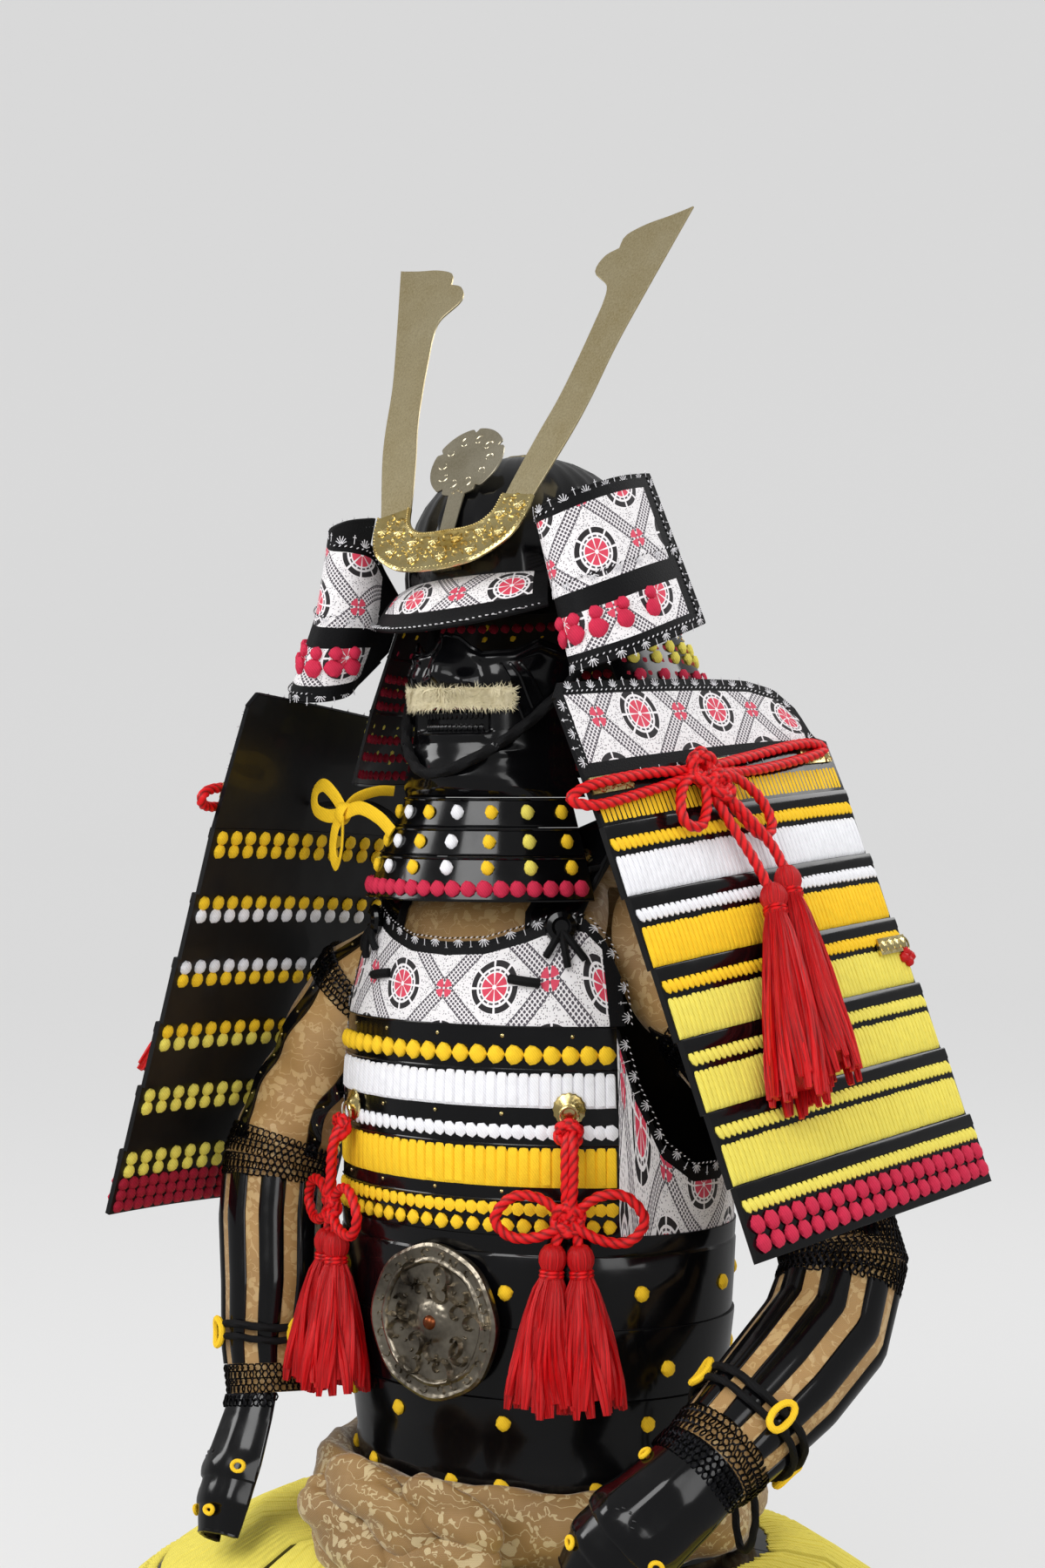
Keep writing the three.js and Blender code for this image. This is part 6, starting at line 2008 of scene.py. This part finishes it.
def tassel(d, top, low, fringe, seed, locks):
    """A bound head over a skirt of silk locks."""
    axis = unit(minus(low, top))
    far = length(minus(low, top))
    d.turned(top, axis, [(-5, 2), (-3, 6.5), (1, 9.4), (6, 10.8), (11, 10.4), (15, 8.6), (17, 7.8), (19, 9),
                         (22, 9.4),
                         (24, 8), (26, 8)], 24, "fringe", 12, 0.035)
    for along in (17.5, 20.5):
        d.turned(add(top, axis, along), axis, [(-1.6, 8), (-1, 9.6), (0, 10.2), (1, 9.6), (1.6, 8)], 24,
                 "rope")
    d.turned(top, axis, [(24, 7), (34, 10), (far * 0.5, fringe * 0.7), (far * 0.92, fringe * 0.82),
                         (far * 0.94, 1)],
             24, "fringe", 9, 0.05)
    s = unit(cross(axis, (0, 0, 1) if abs(axis[2]) < 0.8 else (0, 1, 0)))
    t = cross(axis, s)
    chance = random.Random(seed)
    for i in range(locks):
        angle = TURN * (i + chance.uniform(-0.35, 0.35)) / locks
        reach, drop = chance.uniform(0.84, 1.12), chance.uniform(0.92, 1.04)
        wave, shift = chance.uniform(0.6, 2.4), chance.uniform(0, TURN)
        path = []
        for k in range(10):
            f = k / 9
            r = mix(6.6, fringe * 0.92 * reach, f ** 0.62) + wave * sin(shift + 7 * f) * f
            a = angle + 0.16 * sin(shift + 4 * f)
            p = add(top, axis, 22 + (far * drop - 22) * f)
            path.append(add(add(p, s, r * cos(a)), t, r * sin(a)))
        thick = TURN * fringe / locks * 0.8

        def lock(j, around, thick=thick, shift=shift):
            f = j / 9
            width = thick * (0.42 + 0.66 * f) * (1 - 0.5 * max(0, f - 0.8) / 0.2)
            return width * (1 + 0.4 * cos(4 * around + shift + 3 * f))

        d.tube(path, lock, 12, "fringe")


def bow(name, node_name, place, plan, out=None):
    """One set: ropes and loops as declared cords, with knots and tassels. A washer faces out."""
    d = Draft()
    if out:
        d.turned(place((0, 0, 0.2)), out, [(0, 0.5), (0, 13), (1.5, 13), (2.6, 11.5), (3.4, 8), (5.2, 6),
                                           (6, 4),
                                           (6, 0)], 32, "gilt", 16, 0.03)
        loop = [place((7.5 * cos(a), -5 + 7.5 * sin(a), 7)) for a in circle(28)]
        d.tube(loop, 1.3, 8, "gilt", closed=True)
    for x, y, z, r in plan["knots"]:
        for j in range(3):
            tilt = j * 60 + 20
            wind = []
            for a in circle(20):
                u, v = r * 0.78 * cos(a), r * 0.5 * sin(a)
                c, s = cos(tilt * RAD), sin(tilt * RAD)
                wind.append(place((x + u * c - v * s, y + u * s + v * c, z + 2.2 * sin(2 * a + j))))
            rope(d, wind, 40, True)
    for k, (x, y, z, long, drift) in enumerate(plan["tassels"]):
        top = place((x, y, z))
        low = place((x + drift, y - long, z + plan["hang"]))
        tassel(d, top, low, plan["fringe"], 100 + k + len(node_name), bpy.context.scene.armour.tassel_locks)
    cords = []
    for k, points in enumerate(plan["cords"] + plan["loops"]):
        placed = [place(p) for p in points]
        count = max(12, round(path_length(placed) / 2.2))
        if path_length(placed) < 14 * rope_radius():
            rope(d, placed, count)
            continue
        c = Draft()
        path = rope(c, placed, count)
        cords.append((c, path, "knot" if k < len(plan["cords"]) else "object"))
    d.piece(name, node_name, slot="red_silk")
    for k, (c, path, far) in enumerate(cords):
        made = c.piece("%s_rope_%d" % (name, k + 1), slot="red_silk", sharp=60)
        declare_cord(made, path, far)


def make_bows():
    for name, x, z in (("front_r", -105, -225), ("front_l", 112, -214)):
        phi = asin(x / (read(BODY, z, 1) + 2)) / RAD
        base = body(phi, z, 1.6)
        a, b = read(BODY, z, 1), read(BODY, z, 2)
        out = unit((sin(phi * RAD) / a, -cos(phi * RAD) / b, 0))
        right = (-out[1], out[0], 0)

        def place(p):
            return add(add(add(base, right, p[0]), (0, 0, 1), p[1]), out, p[2])

        # How far the loops hang out from the cuirass
        w = 20
        plan = {
            "loops": [
                [(-1, -84, w), (-22, -68, w + 1), (-44, -67, w + 1), (-58, -84, w), (-46, -98, w),
                 (-24, -98, w + 2),
                 (-3, -88, w + 3)],
                [(1, -83, w + 1), (24, -66, w + 2), (46, -66, w + 2), (60, -84, w + 1), (48, -101, w + 1),
                 (26, -100, w + 3), (3, -88, w + 4)],
            ],
            "cords": [
                [(0, -10, 6), (-2, -28, w - 3), (-2, -54, w), (-1, -84, w)],
                [(3, -10, 8), (4, -28, w), (4, -54, w + 3), (2, -84, w + 3)],
                [(-2, -84, w), (-8, -98, w), (-12, -112, w)],
                [(2, -84, w), (7, -98, w), (9, -112, w)],
            ],
            "knots": [(0, -84, w + 1, 14), (0, -18, 12, 11)],
            "tassels": [(-12, -108, w, 124, -7), (9, -108, w, 124, 9)],
            "fringe": 27, "hang": 4,
        }
        bow("tassels_" + name, "tassel_" + name, place, plan, out)
    for name, guard in GUARDS.items():
        n = 1.5 + rope_radius()

        def place(p):
            return on_guard(guard, p[0], -p[1], n + p[2])

        plan = {
            "loops": [
                [(-44, 30, 4), (-100, 34, 1), (-158, 32, 1), (-178, 25, -3), (-158, 16, 1), (-100, 20, 1),
                 (-44, 26, 5)],
                [(-36, 30, 4), (30, 36, 1), (110, 42, 1), (138, 36, 1), (110, 30, 1), (30, 24, 1),
                 (-36, 26, 5)],
                [(-44, 26, 6), (-66, 20, 7), (-80, 4, 8), (-82, -12, 8), (-66, -16, 8), (-50, 2, 8),
                 (-44, 24, 8)],
                [(-36, 26, 6), (-8, 20, 7), (14, -2, 8), (16, -26, 8), (-2, -32, 8), (-20, -8, 8),
                 (-36, 22, 8)],
            ],
            "cords": [
                [(-42, 26, 6), (-34, -10, 7), (-24, -50, 10), (-20, -82, 12)],
                [(-38, 26, 6), (-16, -14, 12), (2, -44, 12), (4, -70, 14)],
            ],
            "knots": [(-40, 28, 8, 19), (-31, 12, 11, 13)],
            "tassels": [(-20, -78, 14, 165, -66), (4, -66, 14, 165, -48)],
            "fringe": 23, "hang": 9,
        }
        bow("tassels_sode_" + name, "tassel_sode_" + name, place, plan)


def make_ribbon(width):
    """The flat yellow tie at the armour's right shoulder: two ends, two loops and the wrap of the knot."""
    wide = width / MM
    knot = (-122, -108, 20)
    runs = (
        ((0, 0, 0), (6, 10, 12), (20, 20, 18), (30, 30, 18)),
        ((0, 0, 0), (-12, 3, 13), (-29, 8, 23), (-42, 12, 17), (-40, 10, 3), (-22, 4, -3), (-4, 0, -2)),
        ((0, -2, 0), (-10, 0, -14), (-16, 4, -34), (-6, -2, -44), (4, -8, -30), (2, -4, -4)),
        ((2, -3, -1), (22, -6, 4), (44, -8, -4), (60, -10, -16)),
    )
    for k, run in enumerate(runs):
        d = Draft()
        path = smooth([add(knot, p) for p in run], 44)
        d.tube(path, wide / 2, 12, "amber", flat=0.2, across=(0.3, 0, 1))
        made = d.piece("shoulder_tie_%d" % (k + 1), slot="silk_lacing")
        if path_length(path) > 6.2 * wide:
            declare_cord(made, path, "knot")
    d = Draft()
    wrap = [add(knot, (3 * cos(a), 4.5 * sin(a) - 2, 7 * cos(a))) for a in circle(24)]
    d.tube(wrap, wide / 2, 12, "amber", closed=True, across=(1, 0.4, 0), flat=0.24)
    d.piece("shoulder_tie_knot", slot="silk_lacing")


# Stage and camera

# Shares of the paper's colour that it reflects and gives off; what gloss sees of it; the sky, also to gloss
PAPER_BASE = 0.4
PAPER_GLOW = 0.74
GLOSS_PAPER = 0.3
SKY = 0.88
GLOSS_SKY = 0.34


def make_stage(colour):
    """A pale floor that sweeps up all round, and soft lights. Gloss sees it as a dim studio."""
    material = bpy.data.materials.new("studio_paper")
    material.use_nodes = True
    tree = material.node_tree
    paper = tree.nodes["Principled BSDF"]
    paper.inputs["Base Color"].default_value = darker(colour, PAPER_BASE)
    paper.inputs["Emission Color"].default_value = (*colour, 1.0)
    paper.inputs["Emission Strength"].default_value = PAPER_GLOW
    paper.inputs["Roughness"].default_value = 0.9
    gloss = node(tree, "LightPath", {}, {}, 3)
    dim = node(tree, "Emission", {}, {"Color": (1, 1, 1, 1), "Strength": GLOSS_PAPER})
    seen = node(tree, "MixShader", {}, {0: gloss, 1: paper.outputs[0], 2: dim})
    tree.links.new(seen, tree.nodes["Material Output"].inputs[0])
    # Radius and height of each ring of the paper, in metres: flat, then sweeping up far behind the camera
    low = -0.72
    rows = [(0.02, low), (3.6, low), (7.8, low), (10.2, low + 0.4), (11.7, low + 1.5), (12.4, low + 3.3),
            (12.6, 14)]
    points, faces = [], []
    for r, z in rows:
        for k in range(64):
            points.append((r * cos(TURN * k / 64), r * sin(TURN * k / 64), z))
    for j in range(len(rows) - 1):
        for k in range(64):
            m = (k + 1) % 64
            faces.append((j * 64 + k, j * 64 + m, (j + 1) * 64 + m, (j + 1) * 64 + k))
    faces.append(tuple(range(64)))
    mesh = bpy.data.meshes.new("studio_floor")
    mesh.from_pydata(points, [], faces)
    mesh.shade_smooth()
    mesh.materials.append(material)
    floor = bpy.data.objects.new("studio_floor", mesh)
    bpy.context.scene.collection.objects.link(floor)
    world = bpy.data.worlds.new("studio_world")
    world.use_nodes = True
    sky = world.node_tree.nodes["Background"]
    sky.inputs[0].default_value = (1, 1, 1, 1)
    lit = node(world.node_tree, "LightPath", {}, {}, 3)
    strength = node(world.node_tree, "MapRange", {}, {0: lit, 3: SKY, 4: GLOSS_SKY})
    world.node_tree.links.new(strength, sky.inputs[1])
    bpy.context.scene.world = world
    # Place, aim, side in metres and power in watts of each lamp
    lamps = (
        ("key_light", (0.1, -3.0, 1.9), (0, 0, -0.1), 1.8, 60),
        ("fill_light", (3.0, -1.6, 1.0), (0, 0, -0.2), 1.8, 30),
        ("side_light", (-2.6, -1.4, 1.3), (0, 0, -0.1), 1.2, 26),
        ("back_light", (1.4, 2.8, 2.2), (0, 0, 0), 1.8, 40),
    )
    for name, at, to, size, power in lamps:
        light = bpy.data.lights.new(name, "AREA")
        light.size = size
        light.energy = power
        lamp = bpy.data.objects.new(name, light)
        lamp.location = at
        lamp.rotation_euler = (Vector(to) - Vector(at)).to_track_quat("-Z", "Y").to_euler()
        bpy.context.scene.collection.objects.link(lamp)
    view = bpy.context.scene.view_settings
    view.view_transform = "Standard"
    view.exposure = -0.1


# The lens for a sensor 36 mm high, and how far the view's middle is moved right and up, in metres
LENS = 62.4
SENSOR = 36
RIGHT_BY = -0.0115
UP_BY = 0.044


def make_camera(azimuth, distance):
    right = Vector((cos(azimuth), sin(azimuth), 0))
    forward = Vector((-sin(azimuth), cos(azimuth), 0))
    lens = bpy.data.cameras.new("camera")
    lens.sensor_fit = "VERTICAL"
    lens.sensor_height = SENSOR
    lens.lens = LENS
    lens.clip_end = 60
    camera = bpy.data.objects.new("camera", lens)
    camera.location = -forward * distance + right * RIGHT_BY + Vector((0, 0, UP_BY))
    camera.rotation_euler = (pi / 2, 0, azimuth)
    bpy.context.scene.collection.objects.link(camera)
    bpy.context.scene.camera = camera


# What a user may change

class ArmourSettings(bpy.types.PropertyGroup):
    """Sizes and colours of the suit."""

    camera_angle: bpy.props.FloatProperty(
        name="Camera angle", description="Angle the camera stands round the armour", default=36 * RAD,
        subtype="ANGLE")
    camera_distance: bpy.props.FloatProperty(
        name="Camera distance", description="How far the camera stands", default=2.311, unit="LENGTH",
        subtype="DISTANCE")
    backdrop: bpy.props.FloatVectorProperty(
        name="Backdrop", description="Colour of the studio paper", default=linear("#D9D9D9")[:3],
        subtype="COLOR",
        min=0, max=1)
    amber: bpy.props.FloatVectorProperty(
        name="Amber lace", description="Colour of the amber silk lace", default=linear("#FFCF28")[:3],
        subtype="COLOR", min=0, max=1)
    lemon: bpy.props.FloatVectorProperty(
        name="Lemon lace", description="Colour of the lemon silk lace", default=linear("#F2E263")[:3],
        subtype="COLOR", min=0, max=1)
    pearl: bpy.props.FloatVectorProperty(
        name="White lace", description="Colour of the white silk lace", default=linear("#F4F4F8")[:3],
        subtype="COLOR", min=0, max=1)
    pink: bpy.props.FloatVectorProperty(
        name="Crimson knots", description="Colour of the crimson knots", default=linear("#D22A4C")[:3],
        subtype="COLOR", min=0, max=1)
    red: bpy.props.FloatVectorProperty(
        name="Rope and tassels", description="Colour of the red silk", default=linear("#DC0A12")[:3],
        subtype="COLOR", min=0, max=1)
    rope_radius: bpy.props.FloatProperty(
        name="Rope radius", description="Half the thickness of the red ropes", default=0.0043, unit="LENGTH",
        subtype="DISTANCE", precision=4)
    ribbon_width: bpy.props.FloatProperty(
        name="Ribbon width", description="Width of the flat yellow tie", default=0.0115, unit="LENGTH",
        subtype="DISTANCE", precision=4)
    tassel_locks: bpy.props.IntProperty(
        name="Tassel locks", description="Locks of thread in each of the eight tassels", default=30, min=8,
        max=31)


def piece_operator(name, label, words, make, *wanted):
    """An operator class for one piece or group of like pieces; it hands on the settings it wants."""
    def execute(self, context):
        make(*(getattr(context.scene.armour, setting) for setting in wanted))
        return {"FINISHED"}

    return type("ARMOUR_OT_" + name, (bpy.types.Operator,), {
        "bl_idname": "armour." + name, "bl_label": label, "__doc__": words, "execute": execute})


STEPS = (
    piece_operator("camera", "Camera", "Puts the camera at the photograph's angle",
                   make_camera, "camera_angle", "camera_distance"),
    piece_operator("materials", "Finishes", "Makes all finishes; it comes before the pieces", make_materials),
    piece_operator("bowl", "Helmet bowl", "Makes the ribbed helmet bowl", make_bowl),
    piece_operator("visor", "Visor", "Makes the leather-faced visor", make_visor),
    piece_operator("turnbacks", "Turnbacks", "Makes the two wings of the helmet", make_turnbacks),
    piece_operator("neck_guard", "Neck guard", "Makes the three laced neck lames", make_neck_guard),
    piece_operator("crest", "Crest", "Makes the holder, the horns and the disc", make_crest),
    piece_operator("mask", "Face mask", "Makes the mask, its moustache and the cord", make_mask),
    piece_operator("throat", "Throat guard", "Makes the three throat lames", make_throat),
    piece_operator("chest", "Chest", "Makes the chest board and the laced chest", make_chest),
    piece_operator("sides", "Sides and back", "Makes the side boards and the back board",
                   make_sides_and_back),
    piece_operator("waist", "Waist", "Makes the three waist lames", make_waist),
    piece_operator("straps", "Straps", "Makes the shoulder straps and their ties", make_straps),
    piece_operator("mirror", "Mirror", "Makes the bronze mirror plate", make_mirror),
    piece_operator("guards", "Shoulder guards", "Makes the crown boards and the laced boards",
                   make_guards),
    piece_operator("yoke", "Yoke", "Makes the brocade yoke", make_yoke),
    piece_operator("sleeves", "Sleeves", "Makes the sleeves, forearm guards and hand guards",
                   make_sleeves),
    piece_operator("sash", "Sash", "Makes the sash and its knot", make_sash),
    piece_operator("skirt", "Skirt", "Makes the five laced skirt panels", make_skirt),
    piece_operator("bows", "Rope bows", "Makes the rope bows with their tassels", make_bows),
    piece_operator("ribbon", "Shoulder tie", "Makes the flat yellow tie at the right shoulder",
                   make_ribbon, "ribbon_width"),
    piece_operator("stage", "Stage", "Makes the floor and the lights", make_stage, "backdrop"),
)


class ARMOUR_PT_panel(bpy.types.Panel):
    """Lists the pieces of the suit"""

    bl_label = "Armour"
    bl_idname = "ARMOUR_PT_panel"
    bl_space_type = "VIEW_3D"
    bl_region_type = "UI"
    bl_category = "Armour"

    def draw(self, context):
        settings = context.scene.armour
        for name in ArmourSettings.__annotations__:
            self.layout.prop(settings, name)
        for step in STEPS:
            self.layout.operator(step.bl_idname)


CLASSES = (ArmourSettings, *STEPS, ARMOUR_PT_panel)


def register():
    for item in CLASSES:
        bpy.utils.register_class(item)
    bpy.types.Scene.armour = bpy.props.PointerProperty(type=ArmourSettings)


def unregister():
    del bpy.types.Scene.armour
    for item in reversed(CLASSES):
        bpy.utils.unregister_class(item)


def main():
    register()
    for step in STEPS:
        group, name = step.bl_idname.split(".")
        getattr(getattr(bpy.ops, group), name)()
    for shape in SHAPES.values():
        bpy.data.objects.remove(shape)
    bpy.context.view_layer.update()


if __name__ == "__main__":
    main()
